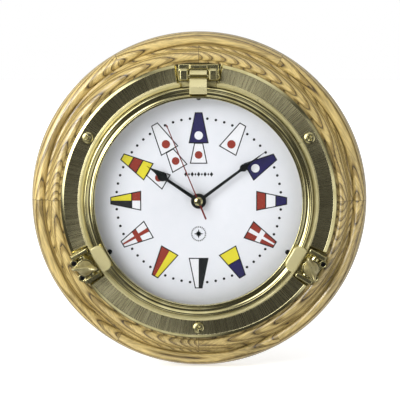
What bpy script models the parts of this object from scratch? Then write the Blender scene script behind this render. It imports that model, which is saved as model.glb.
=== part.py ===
"""Opening porthole made as a quartz wall clock on a turned oak base.

The porthole is drawn lying on a "face" frame: x to the right, y up, z forward
from the wall.  One empty turns that frame upright, so that the finished clock
stands in the world with +Z up, its front towards -Y and its back plane at y = 0.
Every size is in millimetres times MM, and every turned profile is a list of
(radius, forward) points that runs over the top and down the outer side.
"""

import math

import bmesh
import bpy
from mathutils import Matrix

MM = 0.001
GAP = 0.3
RING_STEPS = 48
WHEEL_STEPS = 16

# oak base
OAK_RADIUS = 152.5
OAK_BORE = 103.5
BACK_RING_SEAT = 20.0
FRONT_RING_SEAT = 30.0
GROOVE_RADIUS = 139.8

# brass flange
FLANGE_RADIUS = 124.4
FLANGE_FACE = 35.2
FLANGE_BACK = FRONT_RING_SEAT + GAP
COLLAR_OUTER = 107.5
COLLAR_INNER = 103.6
COLLAR_TOP = 39.2
BARREL_OUTER = 103.0
BARREL_INNER = 99.3
BARREL_BACK = 22.0
LEDGE_INNER = 88.0
LEDGE_TOP = 25.7
STEP_TOP = 31.5
NOTCH_FLOOR = 32.3
FLANGE_SCREW_RADIUS = 114.6
FLANGE_SCREW_ANGLES = (30, 150, 270)

# opening bezel
BEZEL_OUTER = 102.9
BEZEL_INNER = 92.8
BEZEL_BORE = 97.8
BEZEL_BACK = 33.3
BEZEL_TOP = 45.0
GLASS_SEAT = 42.6
GLASS_RADIUS = 97.4
GLASS_BACK = 38.2
GLASS_FRONT = 41.1
PACKING_INNER = 93.4
PACKING_OUTER = 97.5

# hinge at the top
PIN_UP = 112.0
PIN_FORWARD = 39.0
PIN_RADIUS = 1.7
EYE_RADIUS = 6.0
TONGUE_HALF = 7.75
LUG_INNER_X = 9.0
LUG_OUTER_X = 17.0
BRACKET_HALF = 18.0

# dogs, drawn with x outward along the radius and y along the rim
DOG_ANGLES = {"left": 210, "right": 330}
WING_TURN = {"left": -30, "right": -43.4}
PIVOT_RADIUS = 116.2
PIVOT_FORWARD = 38.4
PIVOT_PIN_RADIUS = 1.5
BOLT_RADIUS = 3.0
BOLT_END = 60.5
WASHER_BACK = 51.4
WASHER_FRONT = 52.6
WASHER_RADIUS = 7.8
NUT_BACK = 52.9
BOSS_RADIUS = 3.5
BOSS_AT = (125.0, 7.4)

# dial and hands
DIAL_RADIUS = 98.8
DIAL_BACK = 26.0
DIAL_FRONT = 27.5
DIAL_SCREW_RADIUS = 93.0
DIAL_SCREW_ANGLES = (90, 210, 330)
HOUR_HAND = {"clock": 304.1, "back": 30.6, "front": 31.3}
MINUTE_HAND = {"clock": 53.3, "back": 32.2, "front": 32.9}
SECOND_HAND = {"clock": 337.3, "back": 33.9, "front": 34.5}

# steel hanger let into the back
HANGER_UP = 128.0
HANGER_BACK = 1.6
HANGER_FRONT = 3.4
HANGER_SCREW_X = {"left": -19.0, "right": 19.0}

# quartz movement
CASE_HALF = 28.0
CASE_WALL = 1.6
CASE_BACK = 9.5
CASE_SPLIT = 19.4
CASE_FRONT = 25.7
ROTOR_AT = (-14.0, 12.0)
INTERMEDIATE_AT = (-9.0, 4.0)
MINUTE_WHEEL_AT = (13.2, 3.0)

# (red, green, blue), roughness, metallic
FINISHES = {
    "oak": ((0.52, 0.36, 0.16), 0.35, 0.0),
    "brass": ((0.55, 0.47, 0.24), 0.22, 1.0),
    "dark_steel": ((0.03, 0.03, 0.03), 0.4, 1.0),
    "steel": ((0.55, 0.55, 0.55), 0.3, 1.0),
    "glass": ((0.95, 0.97, 0.97), 0.02, 0.0),
    "rubber": ((0.03, 0.03, 0.03), 0.8, 0.0),
    "white_enamel": ((0.75, 0.75, 0.78), 0.4, 0.0),
    "black_enamel": ((0.01, 0.01, 0.012), 0.35, 0.0),
    "red_enamel": ((0.35, 0.02, 0.03), 0.35, 0.0),
    "black_plastic": ((0.02, 0.02, 0.022), 0.5, 0.0),
    "white_plastic": ((0.7, 0.7, 0.68), 0.5, 0.0),
    "copper": ((0.6, 0.27, 0.12), 0.35, 1.0),
    "circuit_green": ((0.03, 0.16, 0.07), 0.5, 0.0),
    "battery_wrap": ((0.12, 0.13, 0.15), 0.35, 0.0),
}

# turns an outline drawn as (up, forward) so that its thickness lies along x
ACROSS_X = Matrix(((0, 0, 1), (1, 0, 0), (0, 1, 0))).to_euler()
# turns an outline drawn as (outward, forward) so that its thickness lies along the rim
ALONG_RIM = (math.pi / 2, 0, 0)


def clear_scene():
    """Removes every object and collection that the file opened with."""
    for obj in list(bpy.data.objects):
        bpy.data.objects.remove(obj)
    for collection in list(bpy.data.collections):
        bpy.data.collections.remove(collection)


def new_collection(name):
    """Returns a new collection under the scene."""
    collection = bpy.data.collections.new(name)
    bpy.context.scene.collection.children.link(collection)
    return collection


def make_material(name):
    """Returns the Principled material of one finish."""
    colour, roughness, metallic = FINISHES[name]
    material = bpy.data.materials.new(name)
    material.use_nodes = True
    shader = material.node_tree.nodes["Principled BSDF"]
    shader.inputs["Base Color"].default_value = (*colour, 1.0)
    shader.inputs["Roughness"].default_value = roughness
    shader.inputs["Metallic"].default_value = metallic
    return material


def empty(name, parent=None, location=(0, 0, 0), rotation=(0, 0, 0)):
    """Returns an empty that carries pieces."""
    obj = bpy.data.objects.new(name, None)
    CUTTERS.objects.link(obj)
    obj.parent = parent
    obj.location = [value * MM for value in location]
    obj.rotation_euler = rotation
    return obj


def add(mesh, name, finish, parent=None, location=(0, 0, 0), rotation=(0, 0, 0)):
    """Returns an object of a mesh, or a cutter where finish is None."""
    obj = bpy.data.objects.new(name, mesh)
    obj.parent = parent or FACE
    obj.location = [value * MM for value in location]
    obj.rotation_euler = rotation
    if finish is None:
        CUTTERS.objects.link(obj)
        obj.hide_render = True
        obj.display_type = "WIRE"
    else:
        PARTS.objects.link(obj)
        if hasattr(mesh, "materials"):
            mesh.materials.clear()
            mesh.materials.append(MATERIALS[finish])
    return obj


def turned(name, profile, finish, steps=RING_STEPS, **place):
    """Returns a turned piece: a profile of (radius, forward) points swept about its z axis.

    A profile that starts and ends on the axis stays open, and any other is closed.
    """
    points = [(radius * MM, 0, forward * MM) for radius, forward in profile]
    on_axis = profile[0][0] == 0 and profile[-1][0] == 0
    edges = [(i, i + 1) for i in range(len(points) - 1)]
    if not on_axis:
        edges.append((len(points) - 1, 0))
    mesh = bpy.data.meshes.new(name)
    mesh.from_pydata(points, edges, [])
    obj = add(mesh, name, finish, **place)
    screw = obj.modifiers.new("Turn", "SCREW")
    screw.axis = "Z"
    screw.steps = steps
    screw.render_steps = steps
    screw.use_merge_vertices = True
    screw.merge_threshold = 0.00001
    screw.use_smooth_shade = True
    return obj


def ring(name, inner, outer, back, front, finish, steps=RING_STEPS, **place):
    """Returns a plain ring between two radii and two depths."""
    profile = [(inner, front), (outer, front), (outer, back), (inner, back)]
    return turned(name, profile, finish, steps, **place)


def rod(name, radius, back, front, finish, steps=20, **place):
    """Returns a cylinder along its z axis."""
    shape = bmesh.new()
    bmesh.ops.create_cone(
        shape, cap_ends=True, segments=steps, depth=(front - back) * MM,
        radius1=radius * MM, radius2=radius * MM,
        matrix=Matrix.Translation((0, 0, (front + back) / 2 * MM)),
    )
    mesh = bpy.data.meshes.new(name)
    shape.to_mesh(mesh)
    shape.free()
    return add(mesh, name, finish, **place)


def block(name, low, high, finish, bevel=0.0, **place):
    """Returns a box between two corners, with rounded edges where bevel is given."""
    shape = bmesh.new()
    bmesh.ops.create_cube(shape, size=1.0)
    for vert in shape.verts:
        vert.co = [(a + b) / 2 * MM + c * (b - a) * MM for a, b, c in zip(low, high, vert.co)]
    mesh = bpy.data.meshes.new(name)
    shape.to_mesh(mesh)
    shape.free()
    obj = add(mesh, name, finish, **place)
    if bevel:
        rounding = obj.modifiers.new("Round", "BEVEL")
        rounding.width = bevel * MM
        rounding.segments = 1
    return obj


def plate(name, outline, back, front, finish, bevel=0.0, **place):
    """Returns a flat outline of (x, y) points with a thickness from back to front."""
    curve = bpy.data.curves.new(name, "CURVE")
    curve.dimensions = "2D"
    curve.fill_mode = "BOTH"
    curve.extrude = (front - back) / 2 * MM
    spline = curve.splines.new("POLY")
    spline.points.add(len(outline) - 1)
    for point, (x, y) in zip(spline.points, outline):
        point.co = (x * MM, y * MM, 0, 1)
    spline.use_cyclic_u = True
    guide = add(curve, name + "_outline", None)
    bpy.context.view_layer.update()
    evaluated = guide.evaluated_get(bpy.context.evaluated_depsgraph_get())
    mesh = bpy.data.meshes.new_from_object(evaluated)
    bpy.data.objects.remove(guide)
    mesh.transform(Matrix.Translation((0, 0, (back + front) / 2 * MM)))
    shape = bmesh.new()
    shape.from_mesh(mesh)
    bmesh.ops.remove_doubles(shape, verts=shape.verts, dist=0.000001)
    bmesh.ops.recalc_face_normals(shape, faces=shape.faces)
    shape.to_mesh(mesh)
    shape.free()
    obj = add(mesh, name, finish, **place)
    if bevel:
        rounding = obj.modifiers.new("Round", "BEVEL")
        rounding.width = bevel * MM
        rounding.segments = 1
        rounding.angle_limit = math.radians(50)
    return obj


def cut(obj, *cutters):
    """Takes each cutter away from a piece."""
    for cutter in cutters:
        boolean = obj.modifiers.new("Cut", "BOOLEAN")
        boolean.operation = "DIFFERENCE"
        boolean.object = cutter


def unite(obj, *others):
    """Joins other solids, made as cutters, to a piece."""
    for other in others:
        boolean = obj.modifiers.new("Join", "BOOLEAN")
        boolean.operation = "UNION"
        boolean.object = other


def polar(radius, degrees):
    """Returns the (x, y, 0) place at a radius and an angle from +x."""
    angle = math.radians(degrees)
    return (radius * math.cos(angle), radius * math.sin(angle), 0)


def arc(centre, radius, start, end, count):
    """Returns points along an arc, from one angle to another in degrees."""
    points = []
    for i in range(count + 1):
        x, y, _ = polar(radius, start + (end - start) * i / count)
        points.append((centre[0] + x, centre[1] + y))
    return points


def drill(name, radius, back, front, steps=16, **place):
    """Returns a round cutter."""
    return rod(name, radius, back, front, None, steps, **place)


def oak_base():
    """The two glued oak rings and the steel hanger on the back."""
    back_profile = [(OAK_BORE, BACK_RING_SEAT), (GROOVE_RADIUS, BACK_RING_SEAT)]
    back_profile += [(141.2, 22.6), (142.6, 23.8), (144.2, 24.2), (146.4, 23.7), (149.0, 21.9)]
    back_profile += [(151.2, 18.8), (152.3, 14.8), (OAK_RADIUS, 10.5), (151.9, 5.0), (150.3, 1.0)]
    back_profile += [(149.0, 0.0), (OAK_BORE, 0.0)]
    back = turned("oak_back_ring", back_profile, "oak")

    front_base = BACK_RING_SEAT + GAP
    front_profile = [(OAK_BORE, FRONT_RING_SEAT), (126.3, FRONT_RING_SEAT), (127.0, 31.2)]
    front_profile += [(129.0, 31.9), (131.2, 31.6), (133.2, 30.2), (134.8, 27.9), (136.0, 25.2)]
    front_profile += [(137.2, 22.8), (138.8, 21.2), (139.6, front_base), (OAK_BORE, front_base)]
    front = turned("oak_front_ring", front_profile, "oak")

    for angle in FLANGE_SCREW_ANGLES:
        hole = drill(f"flange_screw_hole_{angle}", 2.4, 14, 60,
                     location=polar(FLANGE_SCREW_RADIUS, angle))
        cut(front, hole)
        cut(back, hole)
        cut(FLANGE, hole)

    hanger_floor = HANGER_FRONT + GAP
    recess = block("hanger_recess", (-25.5, -9.5, -1), (25.5, 9.5, hanger_floor), None,
                   location=(0, HANGER_UP, 0))
    nail_room = block("hanger_nail_room", (-8, -8, 1), (8, 7, 10), None, location=(0, HANGER_UP, 0))
    cut(back, recess, nail_room)
    hanger = block("hanger_plate", (-25, -9, HANGER_BACK), (25, 9, HANGER_FRONT), "steel",
                   location=(0, HANGER_UP, 0))
    keyhole = drill("hanger_keyhole", 4.5, -1, 5, location=(0, HANGER_UP - 3, 0))
    slot = block("hanger_slot", (-2.2, -3, -1), (2.2, 6, 5), None, location=(0, HANGER_UP, 0))
    cut(hanger, keyhole, slot)
    head = HANGER_BACK - GAP
    profile = [(0, 11.0), (1.3, 10.4), (1.3, head), (3.0, head), (2.4, 0.4), (0, 0.2)]
    for side, x in HANGER_SCREW_X.items():
        place = {"location": (x, HANGER_UP, 0)}
        hole = drill(f"hanger_{side}_hole", 1.7, -1, 12, 12, **place)
        cut(hanger, hole)
        cut(back, hole)
        screw = turned(f"hanger_screw_{side}", profile, "steel", 12, **place)
        cut(screw, block(f"hanger_{side}_drive", (-3.2, -0.3, -2), (3.2, 0.3, 0.7), None, **place))
    return back, front


def flange_body():
    """The brass flange: flat face, raised collar, barrel and the ledge behind the dial."""
    profile = [(COLLAR_INNER, 38.4), (104.3, COLLAR_TOP), (106.8, COLLAR_TOP), (COLLAR_OUTER, 38.4)]
    profile += [(COLLAR_OUTER, 35.8), (108.4, FLANGE_FACE), (121.6, FLANGE_FACE), (123.4, 34.6)]
    profile += [(FLANGE_RADIUS, 33.2), (FLANGE_RADIUS, 31.0), (123.8, FLANGE_BACK)]
    profile += [(BARREL_OUTER, FLANGE_BACK), (BARREL_OUTER, BARREL_BACK)]
    profile += [(LEDGE_INNER, BARREL_BACK), (LEDGE_INNER, LEDGE_TOP), (BARREL_INNER, LEDGE_TOP)]
    profile += [(BARREL_INNER, STEP_TOP), (COLLAR_INNER, STEP_TOP)]
    flange = turned("flange", profile, "brass")
    hinge_notch = block("hinge_notch", (-BRACKET_HALF - 0.6, 107.8, NOTCH_FLOOR),
                        (BRACKET_HALF + 0.6, 130, 50), None)
    collar_notch = block("collar_notch", (-16.5, 100, FLANGE_FACE), (16.5, 108.5, 50), None)
    eye_notch = block("eye_notch", (-8.4, 104.6, NOTCH_FLOOR), (8.4, 109, 50), None)
    cut(flange, hinge_notch, collar_notch, eye_notch)
    return flange


def flange_screws():
    """Three pan-head screws that hold the flange to the oak."""
    head_back = FLANGE_FACE + GAP
    profile = [(0, head_back + 2.9), (2.4, head_back + 2.6), (4.3, head_back + 1.7)]
    profile += [(5.0, head_back + 0.7), (5.0, head_back), (1.9, head_back), (1.9, 17.0), (0, 15.0)]
    for number, angle in enumerate(FLANGE_SCREW_ANGLES, 1):
        place = {"location": polar(FLANGE_SCREW_RADIUS, angle)}
        screw = turned(f"flange_screw_{number}", profile, "brass", 16, **place)
        for turn in (20, 110):
            slot = block(f"flange_screw_{number}_slot_{turn}", (-2.7, -0.55, head_back + 1.3),
                         (2.7, 0.55, head_back + 5), None,
                         rotation=(0, 0, math.radians(turn + 40 * number)), **place)
            cut(screw, slot)


def hinge():
    """The fixed hinge bracket, the pin and the tongue that the bezel hangs on."""
    pin_place = {"location": (0, PIN_UP, PIN_FORWARD), "rotation": (0, math.pi / 2, 0)}
    bracket = block("hinge_bracket", (-BRACKET_HALF, 108.1, NOTCH_FLOOR + GAP),
                    (BRACKET_HALF, 123.0, 35.4), "brass", 0.4)
    lug_top = PIN_FORWARD + 5.6
    rib = block("hinge_rib", (-TONGUE_HALF, 118.7, 34), (TONGUE_HALF, 122.6, 40.0), None, 0.5)
    left = block("hinge_left_lug", (-LUG_OUTER_X, 108.4, 34), (-LUG_INNER_X, 118.6, lug_top), None, 1.2)
    right = block("hinge_right_lug", (LUG_INNER_X, 108.4, 34), (LUG_OUTER_X, 118.6, lug_top), None, 1.2)
    unite(bracket, rib, left, right)
    cut(bracket, block("hinge_eye_room", (-8.4, 100, 30), (8.4, 118.4, 50), None))
    cut(bracket, drill("hinge_pin_hole", PIN_RADIUS + GAP, -30, 30, **pin_place))

    head = LUG_OUTER_X + GAP
    pin_profile = [(0, head + 2.2), (1.8, head + 2.0), (3.1, head + 1.0), (3.1, head)]
    pin_profile += [(PIN_RADIUS, head), (PIN_RADIUS, -17.2), (0, -17.6)]
    turned("hinge_pin", pin_profile, "brass", 20, **pin_place)

    eye = (PIN_UP, PIN_FORWARD)
    hole = PIN_RADIUS + GAP
    outline = [(96.6, 45.3), (103.3, 45.3), (103.5, 37.8)]
    outline += arc(eye, EYE_RADIUS, -153, 72, 12)
    outline += arc(eye, hole, 50, -230, 10)
    outline += arc(eye, EYE_RADIUS, 109, 118, 1)
    outline += [(105.0, 46.6), (103.0, 48.0), (97.6, 48.0), (96.6, 47.2)]
    plate("hinge_tongue", outline, -TONGUE_HALF, TONGUE_HALF, "brass", rotation=ACROSS_X)


def bezel():
    """The swinging ring with its glass, packing and lug plates."""
    profile = [(BEZEL_INNER, 44.0), (93.5, 44.7), (94.8, 44.8), (95.8, 44.0), (97.4, 43.7)]
    profile += [(99.0, 44.0), (100.2, BEZEL_TOP), (101.4, 44.9), (102.4, 44.1)]
    profile += [(BEZEL_OUTER, 42.8), (BEZEL_OUTER, BEZEL_BACK), (BEZEL_BORE, BEZEL_BACK)]
    profile += [(BEZEL_BORE, GLASS_SEAT), (BEZEL_INNER, GLASS_SEAT)]
    turned("bezel_ring", profile, "brass")
    ring("glass_gasket", PACKING_INNER, PACKING_OUTER, GLASS_FRONT + GAP, GLASS_SEAT - GAP, "rubber")
    glass_profile = [(0, GLASS_FRONT), (GLASS_RADIUS, GLASS_FRONT), (GLASS_RADIUS, GLASS_BACK)]
    turned("glass", glass_profile + [(0, GLASS_BACK)], "glass")
    ring("glass_retaining_ring", PACKING_INNER, PACKING_OUTER, 35.0, GLASS_BACK - GAP, "brass")
    ring("closing_gasket", 99.7, 103.2, STEP_TOP + GAP, BEZEL_BACK - GAP, "rubber")

    seat = BEZEL_TOP + GAP
    lug_outline = [(94.5, seat), (BEZEL_OUTER + 0.4, seat), (BEZEL_OUTER + 0.4, 41.0), (105.8, 41.0)]
    lug_outline += [(105.8, 45.8), (105.3, 46.6), (103.6, 47.4), (95.1, 47.4), (94.5, 46.8)]
    for side, frame in DOG_FRAMES.items():
        plate(f"dog_lug_{side}", lug_outline, -12.1, 12.1, "brass", parent=frame,
              rotation=ALONG_RIM)


def dog_bracket(side, frame):
    """The fixed bracket of one dog, with its side cheeks, round bosses and small screws."""
    notch = block(f"dog_notch_{side}", (107.8, -15.0, NOTCH_FLOOR), (130, 15.0, 50), None, parent=frame)
    cut(FLANGE, notch)
    floor = NOTCH_FLOOR + GAP
    bracket = block(f"dog_bracket_{side}", (108.2, -14.6, floor), (126.0, 14.6, floor + 1.6), "brass",
                    parent=frame)
    for y in (-12.2, 12.2):
        cheek = block(f"dog_{side}_cheek_{y:.0f}", (108.2, y - 2.2, floor + 1), (124.6, y + 2.2, 41.6),
                      None, 0.6, parent=frame)
        unite(bracket, cheek)
    for number, y in enumerate((-BOSS_AT[1], BOSS_AT[1]), 1):
        place = {"parent": frame, "location": (BOSS_AT[0], y, 0)}
        name = f"dog_bracket_screw_{side}_{number}"
        unite(bracket, rod(name + "_boss", BOSS_RADIUS, floor, 40.6, None, **place))
        cut(bracket, drill(name + "_recess", 2.5, 37.6, 50, **place))
        cut(bracket, drill(name + "_hole", 1.4, 20, 50, 12, **place))
        for wooden in (FLANGE, OAK_FRONT):
            cut(wooden, drill(name + "_seat", 1.4, 22.5, 50, 12, **place))
        profile = [(0, 39.6), (2.1, 39.6), (2.1, 37.9), (1.1, 37.9), (1.1, 24.5), (0, 23.5)]
        screw = turned(name, profile, "brass", 12, **place)
        cut(screw, drill(name + "_socket", 1.3, 38.6, 45, 6, **place))
    pivot = {"parent": frame, "location": (PIVOT_RADIUS, 0, PIVOT_FORWARD), "rotation": ALONG_RIM}
    cut(bracket, drill(f"dog_{side}_pivot_hole", PIVOT_PIN_RADIUS + GAP, -20, 20, **pivot))
    rod(f"dog_pivot_pin_{side}", PIVOT_PIN_RADIUS, -14.2, 14.2, "brass", **pivot)


def dog_bolt(side, frame):
    """The swinging bolt of one dog, with its washer and wing nut."""
    pivot = {"parent": frame, "location": (PIVOT_RADIUS, 0, PIVOT_FORWARD), "rotation": ALONG_RIM}
    upright = {"parent": frame, "location": (PIVOT_RADIUS, 0, 0)}
    bolt = rod(f"swing_bolt_{side}", 4.0, -9.6, 9.6, "brass", 24, **pivot)
    unite(bolt, rod(f"swing_bolt_{side}_shank", BOLT_RADIUS, PIVOT_FORWARD, BOLT_END, None, **upright))
    cut(bolt, drill(f"swing_bolt_{side}_eye", PIVOT_PIN_RADIUS + GAP, -20, 20, **pivot))
    ring(f"dog_washer_{side}", BOLT_RADIUS + GAP, WASHER_RADIUS, WASHER_BACK, WASHER_FRONT,
         "brass", 20, **upright)

    turn = {"parent": frame, "location": (PIVOT_RADIUS, 0, 0),
            "rotation": (0, 0, math.radians(WING_TURN[side]))}
    profile = [(0, 63.4), (2.6, 63.0), (4.4, 61.4), (5.6, 57.0), (6.7, 54.6), (6.7, NUT_BACK)]
    nut = turned(f"wing_nut_{side}", profile + [(0, NUT_BACK)], "brass", 24, **turn)
    wing = [(0, 55.5), (6.0, 55.8), (9.6, 57.4), (11.2, 60.0), (11.4, 62.4), (10.6, 64.4)]
    wing += [(9.0, 65.0), (6.6, 64.2), (3.6, 63.2), (0, 62.8)]
    outline = wing + [(-x, z) for x, z in reversed(wing) if 0 < x]
    wings = plate(f"wing_nut_{side}_wings", outline, -1.7, 1.7, None, 0.7, parent=frame,
                  location=(PIVOT_RADIUS, 0, 0))
    wings.rotation_euler = (Matrix.Rotation(math.radians(WING_TURN[side]), 3, "Z")
                            @ Matrix.Rotation(math.pi / 2, 3, "X")).to_euler()
    unite(nut, wings)
    cut(nut, drill(f"wing_nut_{side}_thread", BOLT_RADIUS + GAP, 50, 61.6, 20, **turn))


def dial():
    """The dial plate and its three small screws."""
    profile = [(0, DIAL_FRONT), (DIAL_RADIUS, DIAL_FRONT), (DIAL_RADIUS, DIAL_BACK), (0, DIAL_BACK)]
    plate_obj = turned("dial_plate", profile, "white_enamel")
    cut(plate_obj, drill("dial_centre_hole", 5.2, 20, 35, 24))
    head = DIAL_FRONT + GAP
    screw_profile = [(0, head + 1.5), (1.6, head + 1.3), (2.25, head + 0.6), (2.25, head)]
    screw_profile += [(1.1, head), (1.1, 22.8), (0, 22.4)]
    for number, angle in enumerate(DIAL_SCREW_ANGLES, 1):
        place = {"location": polar(DIAL_SCREW_RADIUS, angle)}
        hole = drill(f"dial_screw_{number}_hole", 1.4, 15, 28, 12, **place)
        cut(plate_obj, hole)
        cut(FLANGE, hole)
        screw = turned(f"dial_screw_{number}", screw_profile, "dark_steel", 12, **place)
        cut(screw, block(f"dial_screw_{number}_slot", (-2.6, -0.3, head + 0.8), (2.6, 0.3, head + 3),
                         None, **place))


def hand(name, half_outline, hub, spec, bore, finish):
    """A flat hand: the right half of its outline, tip first, mirrored, with a round hub."""
    outline = half_outline + [(-x, y) for x, y in reversed(half_outline) if x > 0]
    turn = {"rotation": (0, 0, -math.radians(spec["clock"]))}
    blade = plate(name, outline, spec["back"], spec["front"], finish, **turn)
    unite(blade, rod(name + "_hub", hub, spec["back"], spec["front"], None, 20, **turn))
    cut(blade, drill(name + "_bore", bore, 20, 40, 12, **turn))


def hands():
    """Hour, minute and second hands and the cap at their centre."""
    hour = [(0, 56.3), (0.9, 48.5)] + arc((0, 39.5), 4.4, 66, -72, 6) + [(1.2, 33.0), (1.6, 0)]
    hand("hour_hand", hour, 6.9, HOUR_HAND, 3.4, "black_enamel")
    minute = [(0, 75.4), (0.7, 60.5)] + arc((0, 50.5), 3.4, 66, -72, 6) + [(1.1, 45.0), (1.5, 0)]
    hand("minute_hand", minute, 6.0, MINUTE_HAND, 2.3, "black_enamel")
    second = [(0, 75.5), (1.0, 72.5), (0.4, 72.3), (0.6, 0), (0.8, -17.6)]
    hand("second_hand", second, 2.6, SECOND_HAND, 1.2, "red_enamel")
    back = SECOND_HAND["front"] + GAP
    cap = [(0, back + 1.9), (2.2, back + 1.6), (3.7, back + 0.8), (4.0, back), (0, back)]
    turned("seconds_cap", cap, "brass", 20)


def movement_cases():
    """The two halves of the movement case, hollow and open to each other."""
    inner = CASE_HALF - CASE_WALL
    front = block("movement_front_case", (-CASE_HALF, -CASE_HALF, CASE_SPLIT + GAP),
                  (CASE_HALF, CASE_HALF, CASE_FRONT), "black_plastic", 0.8)
    cut(front, block("front_case_hollow", (-inner, -inner, 0), (inner, inner, CASE_FRONT - CASE_WALL),
                     None), drill("front_case_bush_hole", 5.1, 20, 35))
    back = block("movement_back_case", (-CASE_HALF, -CASE_HALF, CASE_BACK),
                 (CASE_HALF, CASE_HALF, CASE_SPLIT), "black_plastic", 0.8)
    cut(back, block("back_case_hollow", (-inner, -inner, CASE_BACK + CASE_WALL), (inner, inner, 40), None),
        block("battery_bay", (-inner, -inner, 0), (inner, -10.4, 40), None),
        drill("set_knob_hole", 1.8, 0, 30, location=(*MINUTE_WHEEL_AT, 0)))
    battery = {"location": (0, -18.6, 16.6), "rotation": (0, math.pi / 2, 0)}
    profile = [(0, 25.2), (2.7, 25.2), (2.7, 24.2), (7.1, 24.2), (7.1, -24.8), (0, -24.8)]
    turned("battery", profile, "battery_wrap", WHEEL_STEPS, **battery)
    for side, x in (("positive", 25.5), ("negative", -25.9)):
        block(f"battery_contact_{side}", (x, -24.5, 12.0), (x + 0.5, -12.7, 21.5), "steel")


def wheel(name, place, radius, back, front, shaft, finish="white_plastic", bore=0.0):
    """A wheel: a disc with a hub or shaft, (radius, forward end), in front of it."""
    shaft_radius, shaft_end = shaft
    profile = [(bore, shaft_end), (shaft_radius, shaft_end), (shaft_radius, front), (radius, front)]
    return turned(name, profile + [(radius, back), (bore, back)], finish, WHEEL_STEPS,
                  location=(*place, 0))


def movement_works():
    """Bush, wheels, motor, board and the set knob of the movement."""
    bush = [(3.4, 29.8), (4.8, 29.8), (4.8, 23.7), (6.6, 23.7), (6.6, 22.4), (3.4, 22.4)]
    turned("centre_bush", bush, "brass", WHEEL_STEPS)
    nut_back = DIAL_FRONT + GAP
    nut = rod("mounting_nut", 6.6, nut_back, nut_back + 2.0, "brass", 6)
    cut(nut, drill("mounting_nut_thread", 5.1, 20, 40, 24))

    wheel("hour_wheel", (0, 0), 7.6, 20.9, 21.8, (3.1, 31.8), bore=2.4)
    wheel("minute_arbor", (0, 0), 8.6, 18.9, 19.8, (2.0, 33.4), bore=1.3)
    wheel("seconds_wheel", (0, 0), 6.6, 16.6, 17.4, (0.9, 34.6), "brass")
    wheel("intermediate_wheel", INTERMEDIATE_AT, 5.0, 14.6, 15.4, (0.8, 16.2))
    wheel("rotor", ROTOR_AT, 2.4, 13.0, 17.0, (0.7, 19.0), "dark_steel")
    wheel("minute_wheel", MINUTE_WHEEL_AT, 5.0, 22.4, 23.2, (2.4, 23.8), bore=1.4)
    knob_back = 6.2
    knob = [(0, 23.6), (1.1, 23.6), (1.1, CASE_BACK - GAP), (5.5, CASE_BACK - GAP), (5.5, knob_back)]
    turned("set_knob", knob + [(0, knob_back)], "white_plastic", WHEEL_STEPS,
           location=(*MINUTE_WHEEL_AT, 0))

    coil = {"location": (0, 20.5, 15.6), "rotation": (0, math.pi / 2, 0)}
    coil_profile = [(0, 12.0), (3.9, 12.0), (3.9, 10.8), (3.2, 10.8), (3.2, -10.8), (3.9, -10.8)]
    turned("coil", coil_profile + [(3.9, -12.0), (0, -12.0)], "copper", WHEEL_STEPS, **coil)
    board = block("circuit_board", (4.0, 9.5, 12.0), (25.0, 15.5, 13.2), "circuit_green")
    unite(board, block("circuit_chip", (10, 10.5, 13.0), (15, 14.5, 14.6), None))
    stator = block("stator", (-23.0, 8.0, 17.6), (-5.0, 16.0, 18.4), "steel")
    cut(stator, drill("stator_hole", 3.2, 10, 30, location=(*ROTOR_AT, 0)))


clear_scene()
PARTS = new_collection("Porthole clock")
CUTTERS = new_collection("Cutters")
MATERIALS = {finish: make_material(finish) for finish in FINISHES}
FACE = empty("face", rotation=(math.pi / 2, 0, 0))
DOG_FRAMES = {
    side: empty(f"dog_frame_{side}", FACE, rotation=(0, 0, math.radians(angle)))
    for side, angle in DOG_ANGLES.items()
}
FLANGE = flange_body()
OAK_BACK, OAK_FRONT = oak_base()
flange_screws()
hinge()
bezel()
for dog_side, dog_frame in DOG_FRAMES.items():
    dog_bracket(dog_side, dog_frame)
    dog_bolt(dog_side, dog_frame)
dial()
hands()
movement_cases()
movement_works()
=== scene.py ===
"""Looks of a brass opening porthole made as a quartz wall clock on a turned oak base.

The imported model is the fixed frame: +Z up, the dial facing -Y, the wall plane at y = 0.
Shapes are worked out on a "face" plane, where x runs to the right, the second number up and
"forward" is the distance from the wall, so a face point (x, up, forward) is (x, -forward, up).
"""

import logging
import math
from dataclasses import dataclass, field
from enum import Enum
from functools import partial
from typing import Any, Callable, Sequence

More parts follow.
